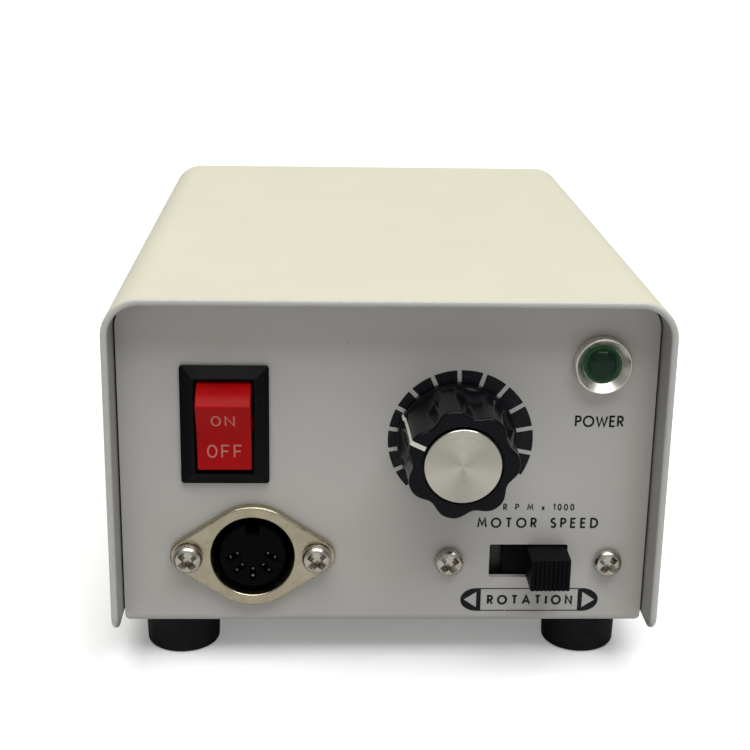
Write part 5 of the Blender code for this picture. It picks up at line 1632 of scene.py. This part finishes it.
@dataclass
class HandpieceSocket:
    """The round five-pole socket: plated flange, keyed insert, forked contacts and two screws."""

    radius: float = 9.25
    end_radius: float = 3.15
    screw_x: float = 11.1
    thickness: float = 1.6
    edge: float = 0.45
    bore: float = 7.2
    shell: float = 8.0
    shell_depth: float = 11.0
    screw_hole: float = 1.65
    insert: float = 5.75
    insert_foot: float = 3.0
    key: Point = (2.4, 3.6)
    contact_slot: Point = (2.6, 1.05)
    contact_circle: float = 3.25
    contact_angles: tuple[float, ...] = (180, 225, 270, 315, 360)
    contact_turns: tuple[float, ...] = (30, 45, 90, 135, 150)

    @property
    def seat(self) -> Matrix:
        """The socket's seat on the front panel."""
        return front_seat("socket_flange")

    def outline(self, inset: float = 0.0, count: int = 120) -> list[Point]:
        """Draws the tight outline round the middle circle and the two end circles.

        Args:
            inset: How far inside the flange's edge it runs.
            count: Number of points.

        Returns:
            The points.
        """
        points = []
        for i in range(count):
            angle = math.tau * (i + 0.5) / count
            side = 1 if math.cos(angle) > 0 else -1
            ending = self.screw_x * abs(math.cos(angle)) + self.end_radius > self.radius
            radius = (self.end_radius if ending else self.radius) - inset
            x, y = polar(radius, angle)
            points.append((x + (side * self.screw_x if ending else 0.0), y))
        return points

    def add_flange(self) -> None:
        """Adds the flange, with its rolled edge and the shell behind it."""
        face, count = PLAY + self.thickness, 120
        turn = math.pi / count
        rings = [lift(self.outline(0.1), PLAY), lift(self.outline(), PLAY + 0.1)]
        for i in range(6):
            angle = i / 5 * math.pi / 2
            inset, drop = self.edge * (1 - math.cos(angle)), self.edge * (1 - math.sin(angle))
            rings.append(lift(self.outline(inset), face - drop))
        for i in range(5):
            angle = i / 4 * math.pi / 2
            radius = self.bore + 0.35 * (1 - math.sin(angle))
            rings.append(disc(radius, face - 0.35 * (1 - math.cos(angle)), count, turn))
        shell = ((self.bore, -self.shell_depth), (self.shell, -self.shell_depth), (self.shell, PLAY))
        rings += [disc(radius, height, count, turn) for radius, height in shell]
        form = Form.skin(rings, closed=True)
        hole = circle(self.screw_hole, 24)
        holes = [Form.prism(hole, -1, 4).moved(side * self.screw_x) for side in (-1, 1)]
        form.cut(*holes).piece("socket_plate", self.seat, YELLOW_ZINC, Body.CASE, "socket_flange")

    def add_insert(self) -> None:
        """Adds the insert with its key and five slots."""
        face, back = self.thickness, -self.shell_depth
        base, foot = self.bore - PLAY, back + self.insert_foot
        profile = [(base, back), (base, foot), (self.insert, foot), (self.insert, face - 0.3)]
        profile += [(self.insert - 0.1, face - 0.1), (self.insert - 0.3, face)]
        form = Form.turned(profile, 96)
        cutters = [Form.block(*self.key, foot, 4).moved(0, self.insert)]
        for angle, turn in zip(self.contact_angles, self.contact_turns):
            slot = Form.prism(rounded(*self.contact_slot, 0.3, 4), back - 2, 4).rolled(math.radians(turn))
            cutters.append(slot.moved(*polar(self.contact_circle, math.radians(angle))))
        form.cut(*cutters).piece("socket_core", self.seat, INSERT_BLACK, Body.CASE, "socket_insert")

    def add_contacts(self) -> None:
        """Adds the contacts, each a strip that forks into two rounded tips."""
        tip, wide, gap = 0.28, 1.0, 0.44
        shoulder, fork, back = 1.1 - tip, 1.1 - 3, -self.shell_depth - 4.0
        for i, (angle, turn) in enumerate(zip(self.contact_angles, self.contact_turns)):
            tips = [arc((side * (wide - tip), shoulder), tip, math.pi, 0, 8) for side in (-1, 1)]
            outline = [(-wide, back), (-wide, shoulder), *tips[0][1:-1], (-gap, shoulder), (-gap, fork)]
            outline += [(gap, fork), (gap, shoulder), *tips[1][1:-1], (wide, shoulder), (wide, back)]
            form = Form.prism(outline, -0.22, 0.22).rolled(math.pi / 2, "X").rolled(math.radians(turn))
            form.moved(*polar(self.contact_circle, math.radians(angle)))
            form.piece(f"contact_fork_{i + 1}", self.seat, TIN, Body.CASE, f"socket_contact_{i + 1}")

    def build(self) -> None:
        """Adds the socket."""
        self.add_flange()
        self.add_insert()
        self.add_contacts()
        for side, turn in (("left", 42), ("right", 50)):
            PanScrew().add(f"socket_screw_{side}", Facing.FRONT, turn)


@dataclass
class SpeedControl:
    """The fluted speed knob with its spun cap and pointer, and the printed dial behind it."""

    radius: float = 10.2
    height: float = 14.0
    lift: float = 0.5
    skirt: float = 2.2
    face_radius: float = 9.4
    flute_depth: float = 1.25
    flutes: int = 7
    pointer: float = math.radians(155)
    shaft_bore: float = 3.3
    hollow: float = 8.3
    roof: float = 6.1
    cap_radius: float = 6.35
    pocket: float = 6.65
    set_screw: float = 1.65
    set_screw_height: float = 9.2
    count: int = 252
    dial_centre: Point = (12.45, 42.05)
    dial: Point = (9.5, 12.4)
    dial_gap: float = 0.37
    dial_gaps: tuple[float, ...] = (
        *(206.6, 188.7, 170.9, 152.3, 134.6, 114.3),
        *(92.5, 71.9, 51.4, 31.0, 10.2, -11.1),
    )
    dial_ends: Point = (-31.0, 223.0)

    @property
    def seat(self) -> Matrix:
        """The knob's seat on the front panel."""
        return front_seat("knob_cap")

    def ring(self, radius: float, depth: float, height: float) -> Ring:
        """Returns a ring of the knob with flutes of a depth, a lobe under the pointer."""
        return fluted(radius, depth, height, self.count, self.flutes, self.pointer, 1.4)

    def side(self) -> list[tuple[float, float, float]]:
        """Draws the knob's side from its skirt to its face.

        Returns:
            The (radius, flute depth, height) steps.
        """
        face = self.height - 0.4
        top = self.lift + self.skirt
        shoulder = self.radius - 0.34
        steps = [(self.radius - 0.15, 0, self.lift), (self.radius, 0, self.lift + 0.15)]
        steps += [(self.radius, 0, top - 0.7), (self.radius - 0.06, 0, top - 0.4)]
        steps += [(self.radius - 0.17, 0.03, top - 0.15), (shoulder, 0.09, top + 0.02)]
        for i in range(1, 15):
            share = i / 14
            radius = self.face_radius + (shoulder - self.face_radius) * (1 - share) ** 1.7
            depth = self.flute_depth * min(1.0, 3.5 * share) ** 0.45
            steps.append((radius, depth, top + (face - 0.4 - top) * share))
        for i in range(1, 6):
            angle = i / 5 * math.pi / 2
            radius = self.face_radius - 0.4 * (1 - math.cos(angle))
            steps.append((radius, self.flute_depth, face - 0.4 + 0.4 * math.sin(angle)))
        return steps

    def add_knob(self) -> None:
        """Adds the knob: bore, hollow, skirt, flutes that fade into it, and the cap's pocket."""
        floor, face = self.height - 1.1, self.height - 0.4
        inner = [(self.shaft_bore, floor - 0.9), (self.shaft_bore, self.roof), (self.hollow, self.roof)]
        rings = [self.ring(radius, 0, height) for radius, height in (*inner, (self.hollow, self.lift))]
        rings += [self.ring(*step) for step in self.side()]
        pocket = ((self.pocket + 0.1, face), (self.pocket, face - 0.1), (self.pocket, floor))
        rings += [self.ring(radius, 0, height) for radius, height in pocket]
        form = Form.skin(rings)
        bore = Form.prism(circle(self.set_screw, 24), 2.5, 20)
        bore.rolled(math.pi / 2, "Y").rolled(self.pointer + math.pi).moved(0, 0, self.set_screw_height)
        form.cut(bore).piece("knob_body", self.seat, KNOB_BLACK, Body.KNOB, "speed_knob")

    def add_pointer(self) -> None:
        """Adds the pointer line, from the cap over the face's edge and down to the skirt's edge."""
        path = [(6.8, self.height - 0.4), (7.6, self.height - 0.4)]
        path += [(radius, height) for radius, _, height in self.side()[::-1] if height > self.lift + 0.1]
        rings = []
        for i, (radius, height) in enumerate(path):
            before, after = path[max(0, i - 1)], path[min(len(path) - 1, i + 1)]
            along = Vector((after[0] - before[0], after[1] - before[1])).normalized()
            out = Vector((along.y, -along.x))
            if out.x + out.y < 0:
                out = -out
            half = 0.38 if height > self.height - 0.9 else 0.30
            low, high = out * -0.05, out * 0.035
            corners = ((low, -half), (low, half), (high, half), (high, -half))
            rings.append([(radius + d.x, w, height + d.y) for d, w in corners])
        Form.skin(rings).rolled(self.pointer).piece("knob_pointer", self.seat, POINTER_INK, Body.KNOB)

    def add_cap(self) -> None:
        """Adds the cap, with a fine chamfer round its faced top."""
        top = self.height
        steps = ((0, 0.8), (0, 0.25), (0.05, 0.12), (0.14, 0.03), (0.25, 0))
        profile = [(self.cap_radius - inset, top - drop) for inset, drop in steps]
        Form.turned(profile, 128).piece("knob_cap_spun", self.seat, SPUN_CAP, Body.KNOB, "knob_cap")

    def add_dial(self) -> None:
        """Prints the dial: a broad ring between two angles, with straight gaps."""
        ink = Print()
        ends = [math.radians(a) for a in self.dial_ends]
        gaps = sorted(math.radians(a) for a in self.dial_gaps)
        starts, stops = [ends[0], *gaps], [*gaps, ends[1]]
        for i, (start, stop) in enumerate(zip(starts, stops)):
            edges = []
            for radius in self.dial:
                half = math.asin(self.dial_gap / radius)
                edges.append((start + (half if i else 0), stop - (half if i < len(gaps) else 0)))
            outer = arc((0, 0), self.dial[1], *edges[1], 10)
            ink.patch(outer + arc((0, 0), self.dial[0], *edges[0][::-1], 10))
        x, z = self.dial_centre
        ink.piece("dial_ring", Facing.FRONT.seat(x, -PANEL, z), BLACK_INK, Body.CASE)

    def build(self) -> None:
        """Adds the knob and its dial."""
        self.add_knob()
        self.add_pointer()
        self.add_cap()
        self.add_dial()


@dataclass
class PilotLamp:
    """The pilot lamp: dished chrome bezel and green dome."""

    rim: float = 4.85
    rise: float = 2.2
    dish: float = 3.35
    floor: float = 0.25
    barrel: float = 3.9
    barrel_end: float = -12.0
    lens: float = 2.55
    lens_end: float = -7.0
    collar: float = 3.25
    collar_top: float = 0.72
    dome: Point = (2.7, 1.12)

    def build(self) -> None:
        """Adds the bezel and the lens."""
        seat, bore = front_seat("lamp_bezel"), self.lens + PLAY
        edge = arc((self.rim - 0.3, self.rise - 0.3), 0.3, 0, math.pi / 2, 6)
        profile = [(self.rim, PLAY), *edge, (self.rim - 0.36, self.rise - 0.05)]
        profile += [(self.dish + 0.12, 0.95), (self.dish, 0.85), (self.dish, self.floor), (bore, self.floor)]
        profile += [(bore, self.barrel_end), (self.barrel, self.barrel_end), (self.barrel, PLAY)]
        form = Form.turned(profile, 96, closed=True)
        form.piece("lamp_bezel_dish", seat, CHROME, Body.CASE, "lamp_bezel")
        top = self.collar_top
        profile = [(self.lens, self.lens_end), (self.lens, PLAY), (self.collar, PLAY)]
        profile += [(self.collar, top - 0.12), (self.collar - 0.1, top), (self.dome[0] + 0.05, top)]
        swell = arc((0, 0), 1.0, 0.08, 0.96 * math.pi / 2, 14)
        profile += [(self.dome[0] * x, top + self.dome[1] * y) for x, y in swell]
        Form.turned(profile, 72).piece("lamp_dome", seat, LENS_GREEN, Body.CASE, "lamp_lens")


@dataclass
class SlideControl:
    """A slide switch's ribbed lever and its two screws."""

    name: str
    facing: Facing
    body: Body
    screw_turns: Point = (0, 0)
    lever: float = 6.85
    reach: float = 6.4
    height: float = 5.65
    ribs: int = 9
    rib_rise: float = 0.45
    foot: float = -2.1
    runner: Point = (15.0, 8.4)
    runner_span: Point = (-3.1, -1.5)

    def build(self) -> None:
        """Adds the lever on its runner, and the screws."""
        frame_spot = middle(f"{self.name}_frame")
        low, high = (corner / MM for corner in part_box(f"{self.name}_slider"))
        out = Vector(self.facing.value[2])
        spot = (low + high) / 2
        seat = self.facing.seat(spot.x, out.y * PANEL, frame_spot.z)
        half, step = self.lever / 2, self.lever / self.ribs
        valley = self.reach - self.rib_rise
        rib = Alphabet.bow((0, 0), (step / 2, self.rib_rise - 0.02), 180 * 0.12, 180 * 0.88, 5)
        outline = [(-half, self.foot), (half, self.foot), (half, valley)]
        for i in range(self.ribs):
            centre = half - i * step - step / 2
            outline += [(centre + x, valley + rise) for x, rise in rib]
        outline.append((-half, valley))
        form = Form.prism(outline, -self.height / 2, self.height / 2).eased(0.12, 2, 70)
        form.rolled(math.pi / 2, "X")
        form.joined(Form.block(*self.runner, *self.runner_span))
        form.piece(f"{self.name}_lever", seat, DULL_BLACK, self.body, f"{self.name}_slider")
        for side, turn in zip(("left", "right"), self.screw_turns):
            PanScrew(radius=2.5, height=1.6).add(f"{self.name}_screw_{side}", self.facing, turn)


@dataclass
class RearFittings:
    """What stands on the rear panel: cord bush, fuse holder and pedal jack."""

    cap_points: int = 144
    cap_flutes: int = 18
    glass: float = 2.35
    tube_ends: Point = (-14.8, -4.4)
    ferrule: float = 2.6
    ferrule_ends: Point = (-19.6, -4.6)
    wire: float = 0.08
    neck: float = 4.5
    thread_pitch: float = 0.85
    thread_depth: float = 0.22
    threads: int = 7

    def seat(self, node: str) -> Matrix:
        """Returns the seat of a fitting on the rear panel."""
        spot = middle(node)
        return Facing.REAR.seat(spot.x, PANEL, spot.z)

    def nut(self, flats: float, hole: float, low: float, high: float) -> Form:
        """Returns a hexagonal nut with chamfered corners.

        Args:
            flats: Distance across its flats.
            hole: Radius of its hole.
            low: Height of its inner face.
            high: Height of its outer face.

        Returns:
            The nut's form.
        """
        count, chamfer, mouth = 72, 0.35, 0.3
        outer = hexagon(flats, count)
        limit = flats / 2 * 1.06
        shares = [min(1, limit / math.hypot(x, y)) for x, y in outer]
        trimmed = [(x * share, y * share) for (x, y), share in zip(outer, shares)]
        rings = [lift(trimmed, low), lift(outer, low + chamfer)]
        rings += [lift(outer, high - chamfer), lift(trimmed, high)]
        rings += [disc(hole + mouth, high, count), disc(hole, high - mouth, count)]
        rings += [disc(hole, low + mouth, count), disc(hole + mouth, low, count)]
        return Form.skin(rings, closed=True)

    def add_bush(self) -> None:
        """Adds the cord bush, with three grooves round its snout."""
        profile = [(3.6, 7.3), (3.75, 7.7), (4.3, 8.0), (5.1, 8.0), (5.4, 7.8)]
        groove = ((5.48, 0), (5.2, 0.25), (5.2, 0.55), (5.55, 0.8))
        for i in range(3):
            profile += [(radius + i * 0.1, 7.0 - i * 1.35 - drop) for radius, drop in groove]
        profile += [(5.9, 2.7), (7.3, 2.7), (7.75, 2.5), (8.0, 2.1), (8.0, PLAY), (5.9, PLAY)]
        profile += [(5.9, -1.5), (6.9, -1.5), (5.4, -8.0), (3.6, -8.0)]
        form = Form.turned(profile, 96, closed=True)
        form.piece("cord_bush_grooved", self.seat("cord_bush"), DULL_BLACK, Body.CASE, "cord_bush")

    def add_fuse_holder(self) -> None:
        """Adds the holder, its nut, and its fluted cap with a slot."""
        seat = self.seat("fuse_holder")
        profile = [(2.0, -28.0), (2.0, -23.5), (6.2, -23.5), (6.2, PLAY), (7.8, PLAY), (7.8, 1.9)]
        profile += [(7.7, 2.15), (7.4, 2.3), (4.2, 2.3), (4.0, 2.1), (4.0, -19.9)]
        Form.turned(profile, 96).piece("fuse_holder_body", seat, SATIN_BLACK, Body.CASE, "fuse_holder")
        self.nut(16.0, 6.5, -4.5, -1.5).piece("fuse_nut_chamfered", seat, SATIN_BLACK, Body.CASE, "fuse_nut")
        steps = [(2.9, 0, 0.7), (2.9, 0, -2.9), (3.65, 0, -2.9), (3.65, 0, 2.6), (6.0, 0, 2.6), (6.0, 0, 3.0)]
        steps += [(6.0, 0.45, 3.4), (5.95, 0.45, 13.2), (5.85, 0.35, 13.7), (5.5, 0.1, 14.0)]
        form = Form.skin([fluted(*step, self.cap_points, self.cap_flutes) for step in steps])
        form.cut(Form.block(14, 1.4, 12.8, 16))
        form.piece("fuse_cap_fluted", seat, SATIN_BLACK, Body.CAP, "fuse_cap")

    def add_fuse(self) -> None:
        """Adds the glass fuse with its two ferrules and its wire."""
        seat = self.seat("fuse_holder")
        outer, inner, (near, far) = self.glass, self.glass - 0.5, self.tube_ends
        tube = [(outer, near), (outer, far), (inner, far), (inner, near)]
        Form.turned(tube, 48, closed=True).piece("fuse_glass_tube", seat, FUSE_GLASS, Body.FUSE, "glass_fuse")
        steps = ((0.2, 0), (0, 0.2), (0, 4.8), (0.2, 5.0))
        for label, low in zip(("inner", "outer"), self.ferrule_ends):
            profile = [(self.ferrule - inset, low + height) for inset, height in steps]
            Form.turned(profile, 48).piece(f"fuse_ferrule_{label}", seat, NICKEL, Body.FUSE)
        wire = [(self.wire, near + 0.1), (self.wire, far - 0.1)]
        Form.turned(wire, 12).piece("fuse_wire", seat, NICKEL, Body.FUSE)

    def add_jack(self) -> None:
        """Adds the pedal jack with its threaded neck, and its nut."""
        seat = self.seat("pedal_jack_nut")
        body = rounded(16.0, 14.0, 1.2, 17)
        steps = [(self.neck, -1.5)]
        for i in range(self.threads):
            z = -1.0 + i * self.thread_pitch
            steps += [(self.neck, z), (self.neck - self.thread_depth, z + 0.42)]
        steps += [(4.1, 5.2), (3.6, 5.2), (3.3, 4.9), (3.3, -23.9)]
        rings = [disc(radius, height, len(body), math.pi / len(body)) for radius, height in steps]
        form = Form.skin([lift(body, -25.5), lift(body, -1.5), *rings])
        form.piece("pedal_jack_threaded", seat, SATIN_BLACK, Body.CASE, "pedal_jack")
        self.nut(13.0, 4.8, 0.3, 2.9).piece("pedal_jack_ring", seat, NICKEL, Body.CASE, "pedal_jack_nut")

    def build(self) -> None:
        """Adds every fitting."""
        self.add_bush()
        self.add_fuse_holder()
        self.add_fuse()
        self.add_jack()


@dataclass
class PrintedPanel:
    """The words and signs printed on the front panel."""

    underside: float = UNDERSIDE
    frame_x: Point = (17.03, 34.23)
    ends_x: Point = (13.42, 37.86)
    frame_z: Point = (2.15, 6.55)
    line: float = 0.08
    arrow: float = 1.5
    words: tuple[tuple[str, str, float, tuple[float, float, float, float]], ...] = (
        ("rotation_word", "ROTATION", 0.38, (18.15, 33.3, 3.35, 1.9)),
        ("speed_word", "MOTOR SPEED", 0.34, (15.9, 37.05, 18.05, 1.95)),
        ("speed_range", "R P M x 1000", 0.21, (20.3, 32.7, 21.35, 1.25)),
        ("power_word", "POWER", 0.34, (31.9, 40.3, 36.7, 2.1)),
    )

    def capsule(self, ink: Print) -> None:
        """Prints the frame round the word: two round ends with arrows, joined by thin lines.

        Args:
            ink: The print that takes it.
        """
        low, high = self.frame_z
        centre, reach = (low + high) / 2, (high - low) / 2
        for side, inner, outer in zip((-1, 1), self.frame_x, self.ends_x):
            bend = abs(outer - inner) - 0.75
            curve = Alphabet.bow((outer - side * bend, centre), (side * bend, reach), -90, 90, 24)
            base, tip = inner + side * 0.78, outer - side * 0.62
            arrow = [(base, centre - self.arrow), (tip, centre), (base, centre + self.arrow)]
            ink.patch([(inner, low), *curve, (inner, high)], arrow)
        left, right = self.frame_x
        upper = ((left, right, high - 0.08),)
        lower = ((left, 21.2, low + 0.1), (21.45, 29.1, low + 0.09), (29.3, right, low + 0.1))
        for start, end, height in upper + lower:
            under, over = height - self.line, height + self.line
            near, far = start - 0.05, end + 0.05
            ink.patch([(near, under), (far, under), (far, over), (near, over)])

    def build(self) -> None:
        """Prints everything."""
        seat = Facing.FRONT.seat(0, -PANEL, self.underside)
        sign = Print()
        self.capsule(sign)
        sign.piece("rotation_sign", seat, BLACK_INK, Body.CASE)
        for name, text, stroke, box in self.words:
            word = Print(stroke)
            word.word(text, *box)
            word.piece(name, seat, BLACK_INK, Body.CASE)


@dataclass
class InnerWorks:
    """The finishes of the CAD nodes that stay as they are."""

    finishes: dict[str, Finish] = field(
        default_factory=lambda: {
            "switch_terminal_lower": BRASS,
            "switch_terminal_upper": BRASS,
            "knob_set_screw": STEEL,
            "pot_shaft": STEEL,
            "pot_housing": STEEL,
            "pot_nut": NICKEL,
            "lamp_nut": NICKEL,
            "direction_frame": SLIDE_FRAME,
            "selector_frame": SLIDE_FRAME,
            "transformer_core": CORE,
            "transformer_coil": TAPE,
            "transformer_strap": YELLOW_ZINC,
            "circuit_board": BOARD,
            "heat_sink": ALUMINIUM,
            "power_transistor": DULL_BLACK,
        }
    )

    def build(self) -> None:
        """Gives each node its material."""
        spot, top = middle("filter_capacitor"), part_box("filter_capacitor")[1].z / MM
        blue, centre = (0.02, 0.05, 0.2), (spot.x, spot.y)
        sleeve = Sleeve("capacitor_sleeve_blue", "capacitor_sleeve", blue, centre=centre, top=top)
        for node, finish in {**self.finishes, "filter_capacitor": sleeve}.items():
            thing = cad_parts[node]
            thing.data.materials.clear()
            thing.data.materials.append(finish.material())
            LOG.info("finish %s on %s", finish.name, node)
        for node in ("transformer_screw_front", "transformer_screw_rear"):
            PanScrew().add(node, Facing.UP, 30)
        for end in ("front", "rear"):
            PanScrew().add(f"cover_screw_{end}_left", Facing.LEFT, 35)
            PanScrew().add(f"cover_screw_{end}_right", Facing.RIGHT, 70)


@dataclass
class Studio:
    """Floor, world, lamps and camera."""

    camera_at: tuple[float, float, float] = (-11.31, -294.71, 127.84)
    pitch: float = math.radians(17.42)
    yaw: float = math.radians(2.18)
    roll: float = math.radians(0.96)
    lens: float = 71.0
    overhead: float = 3.0
    frontal: float = 0.16
    window: float = 0.2
    surround: float = 0.10
    mirrored: float = 0.26
    floor_albedo: float = 0.60
    floor_glow: float = 0.22
    floor_reach: float = 6.0

    def mixed(
        self, tree: bpy.types.NodeTree, ray: Ray, plain: bpy.types.Node, seen: bpy.types.Node
    ) -> bpy.types.Node:
        """Mixes two shaders by the kind of ray that meets them.

        Args:
            tree: The node tree.
            ray: The kind of ray.
            plain: The shader for every other ray.
            seen: The shader for this kind.

        Returns:
            The mixing node.
        """
        path = tree.nodes.new("ShaderNodeLightPath")
        mixer = tree.nodes.new("ShaderNodeMixShader")
        tree.links.new(path.outputs[ray.value], mixer.inputs[0])
        tree.links.new(plain.outputs[0], mixer.inputs[1])
        tree.links.new(seen.outputs[0], mixer.inputs[2])
        return mixer

    def glow(self, tree: bpy.types.NodeTree, strength: float) -> bpy.types.Node:
        """Adds a plain white background.

        Args:
            tree: The node tree.
            strength: Its strength.

        Returns:
            The background's node.
        """
        made = tree.nodes.new("ShaderNodeBackground")
        made.inputs[0].default_value = (1, 1, 1, 1)
        made.inputs[1].default_value = strength
        return made

    def add_world(self) -> None:
        """Adds a surround: white for the camera, dim for what it lights, a dim room in mirrors."""
        world = bpy.data.worlds.new("surround")
        world.use_nodes = True
        tree = world.node_tree
        tree.nodes.clear()
        room, mirrored = self.glow(tree, self.surround), self.glow(tree, self.mirrored)
        lighting = self.mixed(tree, Ray.GLOSSY, room, mirrored)
        seen = self.mixed(tree, Ray.CAMERA, lighting, self.glow(tree, 1.0))
        output = tree.nodes.new("ShaderNodeOutputWorld")
        tree.links.new(seen.outputs[0], output.inputs[0])
        bpy.context.scene.world = world

    def add_floor(self) -> None:
        """Adds a wide pale floor, which keeps the object's shadow."""
        mesh = bpy.data.meshes.new("floor")
        reach = self.floor_reach
        corners = [(-reach, -reach, 0), (reach, -reach, 0), (reach, reach, 0), (-reach, reach, 0)]
        mesh.from_pydata(corners, [], [(0, 1, 2, 3)])
        material = bpy.data.materials.new("pale_floor")
        material.use_nodes = True
        tree = material.node_tree
        plain = tree.nodes["Principled BSDF"]
        plain.inputs["Base Color"].default_value = (self.floor_albedo,) * 3 + (1,)
        plain.inputs["Roughness"].default_value = 0.9
        white = tree.nodes.new("ShaderNodeBsdfDiffuse")
        white.inputs[0].default_value = (1, 1, 1, 1)
        glow = tree.nodes.new("ShaderNodeEmission")
        glow.inputs[1].default_value = self.floor_glow
        seen = tree.nodes.new("ShaderNodeAddShader")
        tree.links.new(white.outputs[0], seen.inputs[0])
        tree.links.new(glow.outputs[0], seen.inputs[1])
        shown = self.mixed(tree, Ray.CAMERA, plain, seen)
        tree.links.new(shown.outputs[0], tree.nodes["Material Output"].inputs[0])
        mesh.materials.append(material)
        floor = bpy.data.objects.new("floor", mesh)
        bpy.context.scene.collection.objects.link(floor)

    def add_sun(
        self,
        name: str,
        strength: float,
        elevation: float,
        azimuth: float,
        width: float,
        colour: Colour = (1.0, 0.995, 0.985),
    ) -> None:
        """Adds a soft lamp.

        Args:
            name: Its name.
            strength: Its strength.
            elevation: Its height over the horizon, in degrees.
            azimuth: Its angle from the front, in degrees, positive towards the right.
            width: How wide it appears, in degrees.
            colour: Its colour.
        """
        light = bpy.data.lights.new(name, "SUN")
        light.energy = strength
        light.angle = math.radians(width)
        light.color = colour
        lamp = bpy.data.objects.new(name, light)
        up, side = math.radians(elevation), math.radians(azimuth)
        towards = Vector((math.sin(side) * math.cos(up), -math.cos(side) * math.cos(up), math.sin(up)))
        lamp.rotation_euler = towards.to_track_quat("Z", "Y").to_euler()
        bpy.context.scene.collection.objects.link(lamp)

    def add_camera(self) -> None:
        """Adds the camera."""
        level = Vector((math.sin(self.yaw), math.cos(self.yaw), 0))
        forward = level * math.cos(self.pitch) - Vector((0, 0, math.sin(self.pitch)))
        right = Vector((math.cos(self.yaw), -math.sin(self.yaw), 0))
        up = right.cross(forward)
        side = right * math.cos(self.roll) + up * math.sin(self.roll)
        top = up * math.cos(self.roll) - right * math.sin(self.roll)
        data = bpy.data.cameras.new("camera")
        data.lens = self.lens
        data.sensor_width = 36.0
        data.clip_start = 0.01
        camera = bpy.data.objects.new("camera", data)
        turn = Matrix((side, top, -forward)).transposed().to_4x4()
        camera.matrix_world = Matrix.Translation(Vector(self.camera_at) * MM) @ turn
        bpy.context.scene.collection.objects.link(camera)
        bpy.context.scene.camera = camera

    def build(self) -> None:
        """Sets the scene."""
        bpy.context.scene.view_settings.view_transform = "Standard"
        self.add_world()
        self.add_floor()
        self.add_sun("overhead_light", self.overhead, 77, 18, 60)
        self.add_sun("front_light", self.frontal, 30, 2, 60)
        self.add_sun("window_light", self.window, 50, 35, 9, (0.70, 0.80, 1.0))
        self.add_camera()


def main() -> None:
    """Builds the studio and dresses the control box."""
    logging.basicConfig(level=logging.INFO, format="%(message)s")
    parts = [
        Studio(),
        Enclosure(),
        Feet(),
        RockerSwitch(),
        HandpieceSocket(),
        SpeedControl(),
        PilotLamp(),
        SlideControl("direction", Facing.FRONT, Body.DIRECTION, (38, 48)),
        SlideControl("selector", Facing.REAR, Body.SELECTOR, (30, 55)),
        RearFittings(),
        PrintedPanel(),
        InnerWorks(),
    ]
    for part in parts:
        part.build()
        LOG.info("built %s", type(part).__name__)


if __name__ == "__main__":
    main()
